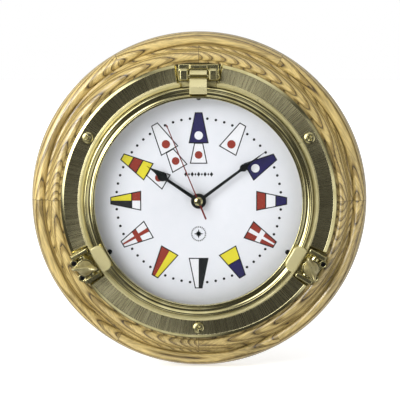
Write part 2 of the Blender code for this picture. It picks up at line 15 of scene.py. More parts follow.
import bmesh
import bpy
import numpy as np
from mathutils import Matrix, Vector


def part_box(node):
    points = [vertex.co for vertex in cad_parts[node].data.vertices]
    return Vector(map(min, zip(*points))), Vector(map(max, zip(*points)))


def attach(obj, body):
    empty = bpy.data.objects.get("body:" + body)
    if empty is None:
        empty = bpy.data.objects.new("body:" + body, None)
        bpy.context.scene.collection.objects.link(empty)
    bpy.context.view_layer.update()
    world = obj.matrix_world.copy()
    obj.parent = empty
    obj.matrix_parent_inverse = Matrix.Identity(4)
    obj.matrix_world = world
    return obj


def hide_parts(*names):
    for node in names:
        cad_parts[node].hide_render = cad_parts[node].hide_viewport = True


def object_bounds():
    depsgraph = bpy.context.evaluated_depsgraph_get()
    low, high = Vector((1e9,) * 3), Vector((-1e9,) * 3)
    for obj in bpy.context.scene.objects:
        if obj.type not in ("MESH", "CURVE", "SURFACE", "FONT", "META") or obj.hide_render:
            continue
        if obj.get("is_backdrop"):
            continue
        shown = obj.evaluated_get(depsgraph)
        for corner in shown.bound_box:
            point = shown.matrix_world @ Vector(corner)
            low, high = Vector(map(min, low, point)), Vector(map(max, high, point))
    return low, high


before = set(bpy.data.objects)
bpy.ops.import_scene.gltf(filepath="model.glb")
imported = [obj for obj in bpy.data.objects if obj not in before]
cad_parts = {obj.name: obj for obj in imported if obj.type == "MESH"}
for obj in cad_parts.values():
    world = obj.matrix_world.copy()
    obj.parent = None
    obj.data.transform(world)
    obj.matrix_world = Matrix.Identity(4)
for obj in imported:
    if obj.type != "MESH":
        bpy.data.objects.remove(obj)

LOG = logging.getLogger("porthole_clock")
MM = 0.001
FULL_TURN = 2 * math.pi
NODES: dict[str, Any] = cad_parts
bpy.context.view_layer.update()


# ---------------------------------------------------------------- colour and shader helpers


def srgb(code: str) -> tuple[float, float, float, float]:
    """Turns an sRGB hex colour to linear RGBA.

    Args:
        code: six hex digits with a leading #.

    Returns:
        The linear red, green and blue with an alpha of 1.
    """
    values = [int(code[i:i + 2], 16) / 255 for i in (1, 3, 5)]
    linear = [v / 12.92 if v <= 0.04045 else ((v + 0.055) / 1.055) ** 2.4 for v in values]
    return (*linear, 1.0)


def add_node(tree: Any, kind: str, inputs: Any = (), output: int = 0, stops: Sequence = (),
             **settings: Any) -> Any:
    """Adds one shader node with its settings and links.

    Args:
        tree: the node tree.
        kind: the node's type name without the ShaderNode prefix.
        inputs: values or sockets for the first inputs in order, or a dict by name or number.
        output: the number of the output to return.
        stops: (position, hex colour) pairs of a colour ramp.
        **settings: attributes of the node.

    Returns:
        One output socket; the node itself is its .node.
    """
    node = tree.nodes.new("ShaderNode" + kind)
    for name, value in settings.items():
        setattr(node, name, value)
    pairs = inputs.items() if isinstance(inputs, dict) else enumerate(inputs)
    for name, value in pairs:
        if isinstance(value, bpy.types.NodeSocket):
            tree.links.new(value, node.inputs[name])
        else:
            node.inputs[name].default_value = value
    for number, (position, code) in enumerate(stops):
        elements = node.color_ramp.elements
        element = elements[number] if number < 2 else elements.new(position)
        element.position = position
        element.color = srgb(code)
    return node.outputs[output] if node.outputs else None


def start_material(name: str) -> tuple[Any, Any, Any, Any]:
    """Starts a material.

    Returns:
        The material, its shader's inputs, a function that adds a node to it, and the object
        coordinates in metres.
    """
    material = bpy.data.materials.new(name)
    material.use_nodes = True
    tree = material.node_tree
    add = partial(add_node, tree)
    return material, tree.nodes["Principled BSDF"].inputs, add, add("TexCoord", output=3)


def link(material: Any, inputs: Any, **values: Any) -> None:
    """Links sockets to the shader's inputs, named with _ for a space, and sets plain values."""
    for name, value in values.items():
        entry = inputs[name.replace("_", " ")]
        if isinstance(value, bpy.types.NodeSocket):
            material.node_tree.links.new(value, entry)
        else:
            entry.default_value = value


# ---------------------------------------------------------------- finishes


@dataclass(frozen=True)
class PolishedBrass:
    """Yellow brass, buffed or satin: mirror-like, with cloudy haze and hairlines of the cloth."""

    name: str = "polished_brass"
    bright: str = "#D3CB9B"
    aged: str = "#B9AE78"
    roughness: float = 0.13
    cloud: float = 14 * MM
    hairline: float = 0.6 * MM
    relief: float = 0.003 * MM
    metallic: float = 1.0

    def build(self) -> Any:
        """Returns the material: noise clouds vary colour and gloss, finer noise is the relief."""
        material, shader, add, place = start_material(self.name)
        haze = add("TexNoise", {"Vector": place, "Scale": 1 / self.cloud, "Detail": 3.0})
        colour = add("ValToRGB", (haze,), stops=((0.35, self.bright), (0.72, self.aged)))
        gloss = add("MapRange", (haze, 0.3, 0.7, self.roughness * 0.8, self.roughness * 1.35))
        lines = add("TexNoise", {"Vector": place, "Scale": 1 / self.hairline, "Detail": 2.0})
        bump = add("Bump", {"Height": lines, "Distance": self.relief, "Strength": 0.5})
        link(material, shader, Base_Color=colour, Roughness=gloss, Normal=bump, Metallic=self.metallic)
        return material


@dataclass(frozen=True)
class BrushedBrass:
    """Sheet brass with straight brush lines outwards from the dial: it shines in fans."""

    name: str = "radially_brushed_brass"
    bright: str = "#CFC79E"
    dull: str = "#B5AC84"
    radius: float = 116 * MM
    line_width: float = 0.6 * MM
    line_length: float = 45 * MM
    patch: float = 22 * MM
    relief: float = 0.004 * MM
    streak: float = 0.8

    def build(self) -> Any:
        """Returns the material.

        The lines are noise over the unit direction from the axis, so they narrow inwards, and
        over the radius, which ends them. They are drawn wider than real ones, to show.
        """
        material, shader, add, place = start_material(self.name)
        flat = add("VectorMath", (place, (1.0, 0.0, 1.0)), operation="MULTIPLY")
        unit = add("VectorMath", (flat,), operation="NORMALIZE")
        length = add("VectorMath", (flat,), output=1, operation="LENGTH")
        ends = add("Math", (length, 1 / self.line_length), operation="MULTIPLY")
        along = add("CombineXYZ", {"Y": ends})
        around = add("VectorMath", {0: unit, "Scale": self.radius / self.line_width}, operation="SCALE")
        polar = add("VectorMath", (around, along), operation="ADD")
        lines = add("TexNoise", {"Vector": polar, "Scale": 1.0, "Detail": 3.0, "Roughness": 0.65})
        patches = add("TexNoise", {"Vector": place, "Scale": 1 / self.patch, "Detail": 3.0})
        mixed = add("Mix", {"Factor": 0.3, "A": lines, "B": patches})
        colour = add("ValToRGB", (mixed,), stops=((0.38, self.dull), (0.6, self.bright)))
        gloss = add("MapRange", (lines, 0.3, 0.7, 0.24, 0.3))
        bump = add("Bump", {"Height": lines, "Distance": self.relief, "Strength": 0.15})
        tangent = add("Tangent", direction_type="RADIAL", axis="Y")
        link(material, shader, Base_Color=colour, Roughness=gloss, Normal=bump, Tangent=tangent,
             Metallic=1.0, Anisotropic=self.streak)
        return material


@dataclass(frozen=True)
class VarnishedOak:
    """Golden oak, glued up from boards, turned and varnished: bold figure under a gloss.

    A board's rings are distances from a far pith that leans along the board: straight lines
    where it leans little, and arches one behind another where it leans more. Each board is
    also turned by up to "skew" radians, so its lines cross the ring aslant.
    """

    name: str
    boards: int
    pith: float
    lean: float
    lean_spread: float
    ring_width: float
    wander: float
    skew: float
    pale: str = "#D8BE78"
    middle: str = "#A68C4C"
    pore: str = "#4C3A1C"
    pith_spread: float = 14 * MM
    pith_depth: float = 34 * MM
    bend_width: float = MM / 0.03
    bend_length: float = MM / 0.006
    # real pores are about 0.3 mm wide: these are drawn coarser, to show
    fibre_width: float = MM / 1.15
    fibre_length: float = MM / 0.055
    blotch: float = 34 * MM
    seam_width: float = 0.7 * MM
    seam_strength: float = 0.6
    relief: float = 0.1 * MM
    # the brightness of blotches, the share that fibres and boards change it by, and a painted
    # light and shade over a metre to the right and up: lighter to the upper left, where the key
    # light falls, and darker to the lower right
    tones: tuple[float, float] = (0.66, 0.9)
    fibre_tones: tuple[float, float] = (0.2, -0.24)
    board_tone: float = 0.07
    painted_light_slope: tuple[float, float, float] = (-0.6, 0.0, 0.7)
    varnish_roughness: float = 0.06

    def build(self) -> Any:
        """Returns the material.

        The angle round the axis, divided by a board's share, numbers the boards. In a board,
        ring number = distance from the pith / ring width + wander * noise, and its fraction
        runs through pale, middle and pore colours. Fibre noise breaks the lines up. Slow noise
        and a tone for each board darken and lighten the result, and a painted light and shade
        across the clock makes it lighter to the upper left and darker to the lower right.
        """
        material, shader, add, place = start_material(self.name)
        split = add("SeparateXYZ", (place,)).node.outputs
        sector = FULL_TURN / self.boards
        around = add("Math", (split["Z"], split["X"]), operation="ARCTAN2")
        turned = add("Math", (around, sector), operation="DIVIDE")
        index = add("Math", (turned,), operation="FLOOR")
        chance = add("TexWhiteNoise", {"W": index}, noise_dimensions="1D")
        skew = add("MapRange", (chance, 0.0, 1.0, sector / 2 - self.skew, sector / 2 + self.skew))
        middle = add("Math", (index, sector, skew), operation="MULTIPLY_ADD")
        board = add("VectorRotate", {"Vector": place, "Angle": middle}, rotation_type="Y_AXIS")
        across, deep, along = add("SeparateXYZ", (board,)).node.outputs

        stretch = (1 / self.bend_width, 1 / self.bend_width, 1 / self.bend_length)
        wide = add("VectorMath", (board, stretch), operation="MULTIPLY")
        bend = add("TexNoise", {"Vector": wide, "W": index, "Scale": 1.0, "Detail": 2.0},
                   noise_dimensions="4D")
        lean = add("MapRange", (chance, 0.0, 1.0, self.lean, self.lean + self.lean_spread))
        nearest, farthest = self.pith - self.pith_spread, self.pith + self.pith_spread
        pith = add("MapRange", (chance, 0.0, 1.0, nearest, farthest))
        aside = add("Math", (across, pith), operation="SUBTRACT")
        below = add("Math", (self.pith_depth, deep), operation="SUBTRACT")
        depth = add("Math", (along, lean, below), operation="MULTIPLY_ADD")
        distance = add("VectorMath", (add("CombineXYZ", (aside, depth)),), output=1,
                       operation="LENGTH")
        shift = add("Math", (bend, self.wander), operation="MULTIPLY")
        rings = add("Math", (distance, 1 / self.ring_width, shift), operation="MULTIPLY_ADD")
        ring = add("Math", (rings,), operation="FRACT")

        stretch = (1 / self.fibre_width, 1 / self.fibre_width, 1 / self.fibre_length)
        narrow = add("VectorMath", (board, stretch), operation="MULTIPLY")
        fibres = add("TexNoise", {"Vector": narrow, "Scale": 1.0, "Detail": 2.0, "Roughness": 0.6})
        broken = add("Math", (fibres, -0.2, ring), operation="MULTIPLY_ADD")
        stops = ((0.0, self.middle), (0.15, self.pale), (0.55, self.pale), (0.68, self.middle),
                 (0.745, self.pore), (0.785, self.pore), (0.82, self.middle))
        grain = add("ValToRGB", (add("Math", (broken, 0.13), operation="ADD"),), stops=stops)

        blotch = add("TexNoise", {"Vector": place, "Scale": 1 / self.blotch, "Detail": 3.0})
        tone = add("MapRange", (blotch, 0.3, 0.7, *self.tones))
        # the last part is painted light and shade: a slope across the clock, lighter to the upper left
        # and darker to the lower right
        for part in (add("MapRange", (fibres, 0.32, 0.68, *self.fibre_tones)),
                     add("MapRange", (chance, 0.0, 1.0, -self.board_tone, self.board_tone)),
                     add("VectorMath", (place, self.painted_light_slope), output=1, operation="DOT_PRODUCT")):
            tone = add("Math", (tone, part), operation="ADD")
        shade = add("CombineColor", (tone, tone, tone))
        toned = add("Mix", {"Factor": 1.0, 6: grain, 7: shade}, output=2, data_type="RGBA",
                    blend_type="MULTIPLY")
        share = add("Math", (turned,), operation="FRACT")
        apart = add("Math", (add("Math", (share, 0.5), operation="SUBTRACT"),), operation="ABSOLUTE")
        edge = 0.5 - self.seam_width / 2 / (sector * self.pith)
        seam = add("Math", (apart, edge), operation="GREATER_THAN")
        faint = add("Math", (seam, self.seam_strength), operation="MULTIPLY")
        glued = add("Mix", {"Factor": faint, 6: toned, 7: srgb(self.pore)}, output=2,
                    data_type="RGBA")
        gloss = add("MapRange", (fibres, 0.3, 0.7, 0.4, 0.58))
        bump = add("Bump", {"Height": broken, "Distance": self.relief, "Strength": 0.25})
        link(material, shader, Base_Color=glued, Roughness=gloss, Normal=bump, Coat_Weight=1.0,
             Coat_Roughness=self.varnish_roughness)
        return material


@dataclass(frozen=True)
class PlainFinish:
    """A paint, ink, plastic, rubber or plating: one colour with fine grain and uneven gloss."""

    name: str
    colour: str
    other: str
    roughness: float
    grain: float = 0.8 * MM
    relief: float = 0.008 * MM
    metallic: float = 0.0
    coat: float = 0.0
    mottle: float = 9 * MM

    def build(self) -> Any:
        """Returns the material: noise mottles the colour and gloss, finer noise is the relief."""
        material, shader, add, place = start_material(self.name)
        mottle = add("TexNoise", {"Vector": place, "Scale": 1 / self.mottle, "Detail": 3.0})
        colour = add("ValToRGB", (mottle,), stops=((0.35, self.colour), (0.7, self.other)))
        gloss = add("MapRange", (mottle, 0.3, 0.7, self.roughness * 0.85, self.roughness * 1.15))
        fine = add("TexNoise", {"Vector": place, "Scale": 1 / self.grain, "Detail": 2.0})
        bump = add("Bump", {"Height": fine, "Distance": self.relief, "Strength": 0.5})
        link(material, shader, Base_Color=colour, Roughness=gloss, Normal=bump, Metallic=self.metallic,
             Coat_Weight=self.coat)
        return material


@dataclass(frozen=True)
class WindowGlass:
    """Clear float glass: seen through almost untouched, with a faint green body."""

    name: str = "clear_float_glass"
    body: str = "#20302C"
    opacity: float = 0.05
    index: float = 1.52
    smear: float = 30 * MM

    def build(self) -> Any:
        """Returns the material: broad noise makes faint smears in the gloss."""
        material, shader, add, place = start_material(self.name)
        smear = add("TexNoise", {"Vector": place, "Scale": 1 / self.smear, "Detail": 2.0})
        gloss = add("MapRange", (smear, 0.3, 0.7, 0.01, 0.05))
        link(material, shader, Base_Color=srgb(self.body), Roughness=gloss, IOR=self.index,
             Alpha=self.opacity)
        return material


@dataclass
class Finishes:
    """Every material of the clock, made once."""

    made: dict[str, Any] = field(default_factory=dict)

    def build(self) -> "Finishes":
        """Makes the materials and returns the set."""
        recipes = [
            # buffed bright on the wheel: the bezel, pins, washers and the cap mirror the room
            PolishedBrass(),
            # castings that hands turn: duller, browned in the hollows
            PolishedBrass("handled_cast_brass", "#C9BF8F", "#9C9061", 0.3, 7 * MM, 1.6 * MM,
                          0.012 * MM, 0.8),
            # lacquered satin turnings and plates: an even beige, because lacquer hides some metal
            PolishedBrass("satin_lacquered_brass", "#D6CD9C", "#C8BE88", 0.34, 20 * MM, 0.9 * MM,
                          0.006 * MM, 0.45),
            # sand castings, filed and buffed: bright, with soft dents left in the gloss
            PolishedBrass("buffed_cast_brass", "#D2CA9A", "#B5AB78", 0.24, 6 * MM, 1.6 * MM, 0.015 * MM),
            # the flat of the flange, brushed outwards: dark, with bright fans
            BrushedBrass(),
            # the wide back ring is six boards, whose rings run mostly along them
            VarnishedOak("golden_oak_six_boards", 6, 150 * MM, 0.0, 0.04, 3.4 * MM, 2.2, 0.2),
            # the front ring is four boards that lean, which draws arches across its cove
            VarnishedOak("golden_oak_four_boards", 4, 128 * MM, 0.1, 0.16, 3.2 * MM, 2.0, 0.3),
            # screen-printed face: flat white with a slight sheen
            PlainFinish("satin_white_dial_enamel", "#E6E8EE", "#E2E5EB", 0.45, relief=0.003 * MM),
            # stoved enamel on stamped brass: deep black, a soft shine at the edges
            PlainFinish("black_hand_enamel", "#0B0B0D", "#131315", 0.3, coat=0.4),
            PlainFinish("dark_red_hand_enamel", "#7A221E", "#661B18", 0.35),
            # screen inks: flat colour, very slightly uneven
            PlainFinish("black_printing_ink", "#121216", "#1A1A1F", 0.5),
            PlainFinish("white_printing_ink", "#ECEDF1", "#E6E8EC", 0.45),
            PlainFinish("red_printing_ink", "#98301F", "#8E2C1C", 0.45),
            PlainFinish("blue_printing_ink", "#251D5C", "#211A52", 0.45),
            PlainFinish("yellow_printing_ink", "#E2D62C", "#DACE28", 0.45),
            # small steel parts: oil-blacked, or zinc-plated with a grey spangle
            PlainFinish("oil_blacked_steel", "#1B1B1D", "#27272A", 0.35, metallic=0.8),
            PlainFinish("zinc_plated_steel", "#B9BBBC", "#9C9EA1", 0.32, metallic=1.0),
            # moulded goods: rubber is dull and grainy, plastics have a spark-eroded texture
            PlainFinish("black_moulded_rubber", "#131313", "#1C1C1C", 0.75, 0.4 * MM, 0.05 * MM),
            PlainFinish("black_moulded_abs", "#17171A", "#202023", 0.5, 0.5 * MM, 0.04 * MM),
            PlainFinish("white_moulded_nylon", "#DAD8CF", "#CCCABF", 0.5, 0.5 * MM, 0.02 * MM),
            # enamelled winding wire, a green solder mask and a shrunk battery sleeve
            PlainFinish("lacquered_copper_wire", "#A45A2C", "#8A4620", 0.3, metallic=1.0),
            PlainFinish("green_solder_mask", "#1F5B36", "#184A2B", 0.4),
            PlainFinish("shrunk_battery_sleeve", "#2A2E36", "#22252C", 0.3, coat=0.5),
            WindowGlass(),
        ]
        self.made = {recipe.name: recipe.build() for recipe in recipes}
        return self

    def dress(self, piece: Any, *names: str) -> None:
        """Gives a piece its materials, in slot order."""
        piece.data.materials.clear()
        for name in names:
            piece.data.materials.append(self.made[name])


# ---------------------------------------------------------------- surfaces


def face_points(x: np.ndarray, up: np.ndarray, forward: np.ndarray) -> np.ndarray:
    """Returns world points in metres for face-plane numbers in millimetres."""
    return np.stack([x, -forward, up], axis=-1) * MM


def make_piece(name: str, points: np.ndarray, faces: Sequence, sharp: float = 40.0) -> Any:
    """Makes a closed mesh piece with merged points, outward faces and soft shading.

    Args:
        name: the piece's name.
        points: an (n, 3) array in metres.
        faces: rows of point numbers.
        sharp: edges that turn by more than this many degrees stay crisp.

    Returns:
        The new object, linked to the scene.
    """
    mesh = bpy.data.meshes.new(name)
    mesh.from_pydata(points.reshape(-1, 3), [], faces)
    return settle(name, mesh, sharp)


def settle(name: str, mesh: Any, sharp: float = 40.0) -> Any:
    """Merges a mesh's doubles, turns its faces outwards and returns its new object."""
    shape = bmesh.new()
    shape.from_mesh(mesh)
    bmesh.ops.remove_doubles(shape, verts=shape.verts, dist=1e-7)
    bmesh.ops.dissolve_degenerate(shape, edges=shape.edges, dist=1e-8)
    bmesh.ops.recalc_face_normals(shape, faces=shape.faces)
    shape.to_mesh(mesh)
    shape.free()
    mesh.shade_smooth()
    mesh.set_sharp_from_angle(angle=math.radians(sharp))
    piece = bpy.data.objects.new(name, mesh)
    bpy.context.scene.collection.objects.link(piece)
    return piece


def grid_faces(rows: int, columns: int, wrap_rows: bool, wrap_columns: bool) -> np.ndarray:
    """Returns the quads of a grid of points, closed along either side."""
    r = np.arange(rows if wrap_rows else rows - 1)
    c = np.arange(columns if wrap_columns else columns - 1)
    r0, c0 = np.meshgrid(r, c, indexing="ij")
    r1, c1 = (r0 + 1) % rows, (c0 + 1) % columns
    corners = [r0 * columns + c0, r0 * columns + c1, r1 * columns + c1, r1 * columns + c0]
    return np.stack(corners, axis=-1).reshape(-1, 4)


def soften(corners: Sequence[tuple[float, float, float]], steps: int = 6,
           closed: bool = True) -> np.ndarray:
    """Rounds the corners of an outline.

    Each corner (a, b, reach) becomes a quadratic curve that starts and ends at most "reach"
    before and after the corner, and never past the middle of a side.

    Returns:
        The outline as an (n, 2) array.
    """
    given = np.array(corners, float)
    place, reach = given[:, :2], given[:, 2]
    before, after = np.roll(place, 1, axis=0) - place, np.roll(place, -1, axis=0) - place
    lengths = [np.maximum(np.linalg.norm(side, axis=1), 1e-9) for side in (before, after)]
    cut = np.minimum(reach, 0.49 * np.minimum(*lengths))
    if not closed:
        cut[0] = cut[-1] = 0.0
    start = place + before / lengths[0][:, None] * cut[:, None]
    end = place + after / lengths[1][:, None] * cut[:, None]
    t = np.linspace(0, 1, steps)[None, :, None]
    curve = (1 - t) ** 2 * start[:, None] + 2 * t * (1 - t) * place[:, None] + t ** 2 * end[:, None]
    points = curve.reshape(-1, 2)
    keep = np.linalg.norm(points - np.roll(points, 1, axis=0), axis=1) > 1e-6
    keep[0] = True
    return points[keep]


def turn_profile(name: str, profile: np.ndarray, columns: int = 360,
                 centre: tuple[float, float] = (0.0, 0.0), closed: bool = True) -> Any:
    """Turns a profile of (radius, forward) in millimetres about an axis along forward.

    A point at radius r and angle a is (r cos a, r sin a, forward) on the face plane. An open
    profile starts and ends on the axis.
    """
    angle = np.linspace(0, FULL_TURN, columns, endpoint=False)
    radius, forward = profile[:, 0][:, None], profile[:, 1][:, None]
    points = face_points(centre[0] + radius * np.cos(angle), centre[1] + radius * np.sin(angle),
                         forward + 0 * angle)
    return make_piece(name, points, grid_faces(len(profile), columns, closed, True))


def pillowed(name: str, outline: np.ndarray, back: float, front: float, rounding: float,
             place: Any = None, steps: int = 4) -> Any:
    """Makes a flat piece from a closed outline, with its edges rounded on both sides.

    Every layer is the outline moved inwards by rounding * (1 - sin q), while its height
    moves by rounding * (1 - cos q), for q from 0 to a right angle. One more layer, a little
    further in, keeps both faces flat up to their edges.

    Args:
        name: the piece's name.
        outline: an (n, 2) array in millimetres, counter-clockwise.
        back: the height of the back.
        front: the height of the front.
        rounding: the size of the rounded edge.
        place: a function from (a, b, height) arrays to world points; the face plane if left out.
        steps: layers in each rounded edge.

    Returns:
        The piece.
    """
    tangent = np.roll(outline, -1, axis=0) - np.roll(outline, 1, axis=0)
    tangent /= np.maximum(np.linalg.norm(tangent, axis=1, keepdims=True), 1e-9)
    inward = np.stack([-tangent[:, 1], tangent[:, 0]], axis=1)
    quarter = np.linspace(0, math.pi / 2, steps)
    inset = rounding * (1 - np.sin(quarter))
    rise = rounding * (1 - np.cos(quarter))
    flat = [1.1 * rounding]
    insets = np.concatenate([flat, inset, inset[::-1], flat])
    heights = np.concatenate([[back], back + rise, front - rise[::-1], [front]])
    layers = outline[None] + inward[None] * insets[:, None, None]
    a, b = layers[..., 0], layers[..., 1]
    height = heights[:, None] + 0 * a
    points = (place or face_points)(a, b, height)
    rows, columns = len(heights), len(outline)
    sides = grid_faces(rows, columns, False, True).tolist()
    caps = [list(range(columns))[::-1], [(rows - 1) * columns + i for i in range(columns)]]
    return make_piece(name, points, sides + caps)


def prisms(name: str, outlines: np.ndarray, back: float, front: float) -> Any:
    """Makes flat printed shapes: each of n outlines of k points becomes a thin closed prism."""
    count, sides = outlines.shape[:2]
    layers = np.repeat(outlines[:, None], 2, axis=1)
    height = np.array([back, front])[None, :, None] + np.zeros((count, 2, sides))
    points = face_points(layers[..., 0], layers[..., 1], height)
    first = (np.arange(count) * 2 * sides)[:, None]
    ring = np.arange(sides)[None]
    following = np.roll(ring, -1, axis=1)
    upper = first + sides
    walls = np.stack([first + ring, first + following, upper + following, upper + ring], axis=-1)
    caps = np.concatenate([first + ring[:, ::-1], upper + ring])
    return make_piece(name, points, walls.reshape(-1, 4).tolist() + caps.tolist())


def disc(centre: tuple[float, float], radius: float, sides: int = 32) -> np.ndarray:
    """Returns a round outline."""
    angle = np.linspace(0, FULL_TURN, sides, endpoint=False)
    return np.stack([centre[0] + radius * np.cos(angle), centre[1] + radius * np.sin(angle)], axis=1)


def finish_faces(piece: Any, choose: Callable[[np.ndarray, np.ndarray], np.ndarray]) -> None:
    """Gives each face the finish that "choose" names for its (radius, forward) and (x, up)."""
    centres = np.empty(len(piece.data.polygons) * 3)
    piece.data.polygons.foreach_get("center", centres)
    x, y, up = centres.reshape(-1, 3).T / MM
    numbers = choose(np.stack([np.hypot(x, up), -y]), np.stack([x, up]))
    piece.data.polygons.foreach_set("material_index", numbers.astype(np.int32))


def bake_modifiers(piece: Any) -> None:
    """Applies every modifier of a piece to its mesh."""
    evaluated = piece.evaluated_get(bpy.context.evaluated_depsgraph_get())
    mesh = bpy.data.meshes.new_from_object(evaluated)
    piece.modifiers.clear()
    old = piece.data
    piece.data = mesh
    bpy.data.meshes.remove(old)


def cast_copy(node: str, voxel: float, passes: int, name: str = "") -> Any:
    """Copies a CAD solid as a casting: remade from small voxels and smoothed, so edges round.

    Args:
        node: the CAD node.
        voxel: the voxel's side in millimetres.
        passes: how many smoothing passes round the edges.
        name: the new piece's name, or the node's with _cast.

    Returns:
        The new piece.
    """
    mesh = NODES[node].data.copy()
    piece = settle(name or node + "_cast", mesh)
    remesh = piece.modifiers.new("Voxels", "REMESH")
    remesh.mode = "VOXEL"
    remesh.voxel_size = voxel * MM
    smooth = piece.modifiers.new("Rounding", "SMOOTH")
    smooth.factor = 0.5
    smooth.iterations = passes
    bake_modifiers(piece)
    piece.data.shade_smooth()
    return piece


class Drive(Enum):
    """The recess that a screw is turned by."""

    CROSS = "cross"
    SLOT = "slot"
    HEX = "hex"


@dataclass
class Screw:
    """A screw seen from its head, drawn as one closed surface of rings.

    The head's height is a dome less a recess, which is a smooth step of the distance from a
    cross, a slot or a hexagon.
    """

    head: float
    top: float
    under: float
    dome: float
    shank: float
    end: float
    drive: Drive
    reach: float
    width: float
    depth: float
    turn: float = 0.0

    def recess(self, x: np.ndarray, up: np.ndarray) -> np.ndarray:
        """Returns how deep the recess is under each point of the head."""
        c, s = math.cos(self.turn), math.sin(self.turn)
        a, b = x * c + up * s, up * c - x * s
        if self.drive is Drive.SLOT:
            distance = np.abs(b) - self.width
        elif self.drive is Drive.CROSS:
            distance = np.minimum(np.maximum(np.abs(a) - self.reach, np.abs(b) - self.width),
                                  np.maximum(np.abs(b) - self.reach, np.abs(a) - self.width))
        else:
            turns = [0, math.pi / 3, -math.pi / 3]
            flats = [np.abs(a * math.cos(q) + b * math.sin(q)) for q in turns]
            distance = np.max(flats, axis=0) - self.reach
        blend = np.clip(0.5 - distance / (0.12 * self.head), 0, 1)
        return self.depth * blend * blend * (3 - 2 * blend)

    def build(self, name: str, centre: tuple[float, float], sides: int = 72) -> Any:
        """Makes the screw at a centre on the face plane and returns it."""
        rim = np.linspace(0, 1, 22)
        radii = self.head * np.sin(rim * math.pi / 2)
        heights = self.top - self.dome * (1 - np.cos(rim * math.pi / 2))
        body = [(self.head, self.under), (self.shank, self.under), (self.shank, self.end),
                (0, self.end - 0.6)]
        radius = np.concatenate([radii, [p[0] for p in body]])[:, None]
        height = np.concatenate([heights, [p[1] for p in body]])[:, None]
        angle = np.linspace(0, FULL_TURN, sides, endpoint=False)[None]
        x, up = radius * np.cos(angle), radius * np.sin(angle)
        height = np.broadcast_to(height, x.shape).copy()
        height[:len(rim)] -= self.recess(x[:len(rim)], up[:len(rim)])
        points = face_points(centre[0] + x, centre[1] + up, height)
        return make_piece(name, points, grid_faces(len(radius), sides, False, True))


# ---------------------------------------------------------------- places read from the frame


def depth_of(node: str) -> tuple[float, float]:
    """Returns how far a node's back and front are from the wall, in millimetres."""
    low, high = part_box(node)
    return -high.y / MM, -low.y / MM


def middle_of(node: str) -> tuple[float, float]:
    """Returns a node's centre on the face plane, in millimetres."""
    low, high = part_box(node)
    return (low.x + high.x) / 2 / MM, (low.z + high.z) / 2 / MM


def radius_of(node: str) -> float:
    """Returns half a round node's width, in millimetres."""
    low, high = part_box(node)
    return (high.x - low.x) / 2 / MM


@dataclass
class Maker:
    """What every sub-assembly shares: the finishes, and how a piece joins the frame."""

    finishes: Finishes

    def place(self, piece: Any, body: str, slot: str, *materials: str,
              stands_for: Sequence[str] = ()) -> None:
        """Dresses a piece, rides it on a body and hides the CAD nodes that it stands for."""
        self.finishes.dress(piece, *materials)
        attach(piece, body)
        if stands_for:
            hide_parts(*stands_for)
        LOG.info("%s: %d points on %s", piece.name, len(piece.data.vertices), body)

    def dress_node(self, material: str, *nodes: str) -> None:
        """Gives CAD nodes that keep their shape a finish."""
        for node in nodes:
            self.finishes.dress(NODES[node], material)

    def cast(self, node: str, voxel: float, passes: int, body: str, material: str,
             name: str = "") -> None:
        """Puts a cast brass copy of a CAD node in its place."""
        self.place(cast_copy(node, voxel, passes, name), body, "brass", material, stands_for=[node])

    def turn(self, node: str, corners: Sequence, body: str, slot: str, material: str, steps: int,
             columns: int, centre: tuple[float, float] = (0.0, 0.0), closed: bool = True,
             name: str = "") -> None:
        """Turns a profile with softened corners in place of a CAD node.

        Args:
            node: the CAD node.
            corners: (radius, forward, reach) as for soften.
            body: the body it rides on.
            slot: not used.
            material: the finish.
            steps: points on each corner.
            columns: points round the axis.
            centre: the axis on the face plane.
            closed: whether the profile closes, or runs from axis to axis.
            name: the piece's name, or the node's with _turned.
        """
        profile = soften(corners, steps, closed)
        piece = turn_profile(name or node + "_turned", profile, columns, centre, closed)
        self.place(piece, body, slot, material, stands_for=[node])

    def fasten(self, node: str, screw: Screw, slot: str, material: str, sides: int) -> None:
        """Puts a detailed screw in place of a CAD node on the base."""
        self.place(screw.build(node + "_turned", middle_of(node), sides), "base", slot, material,
                   stands_for=[node])


# ---------------------------------------------------------------- sub-assemblies


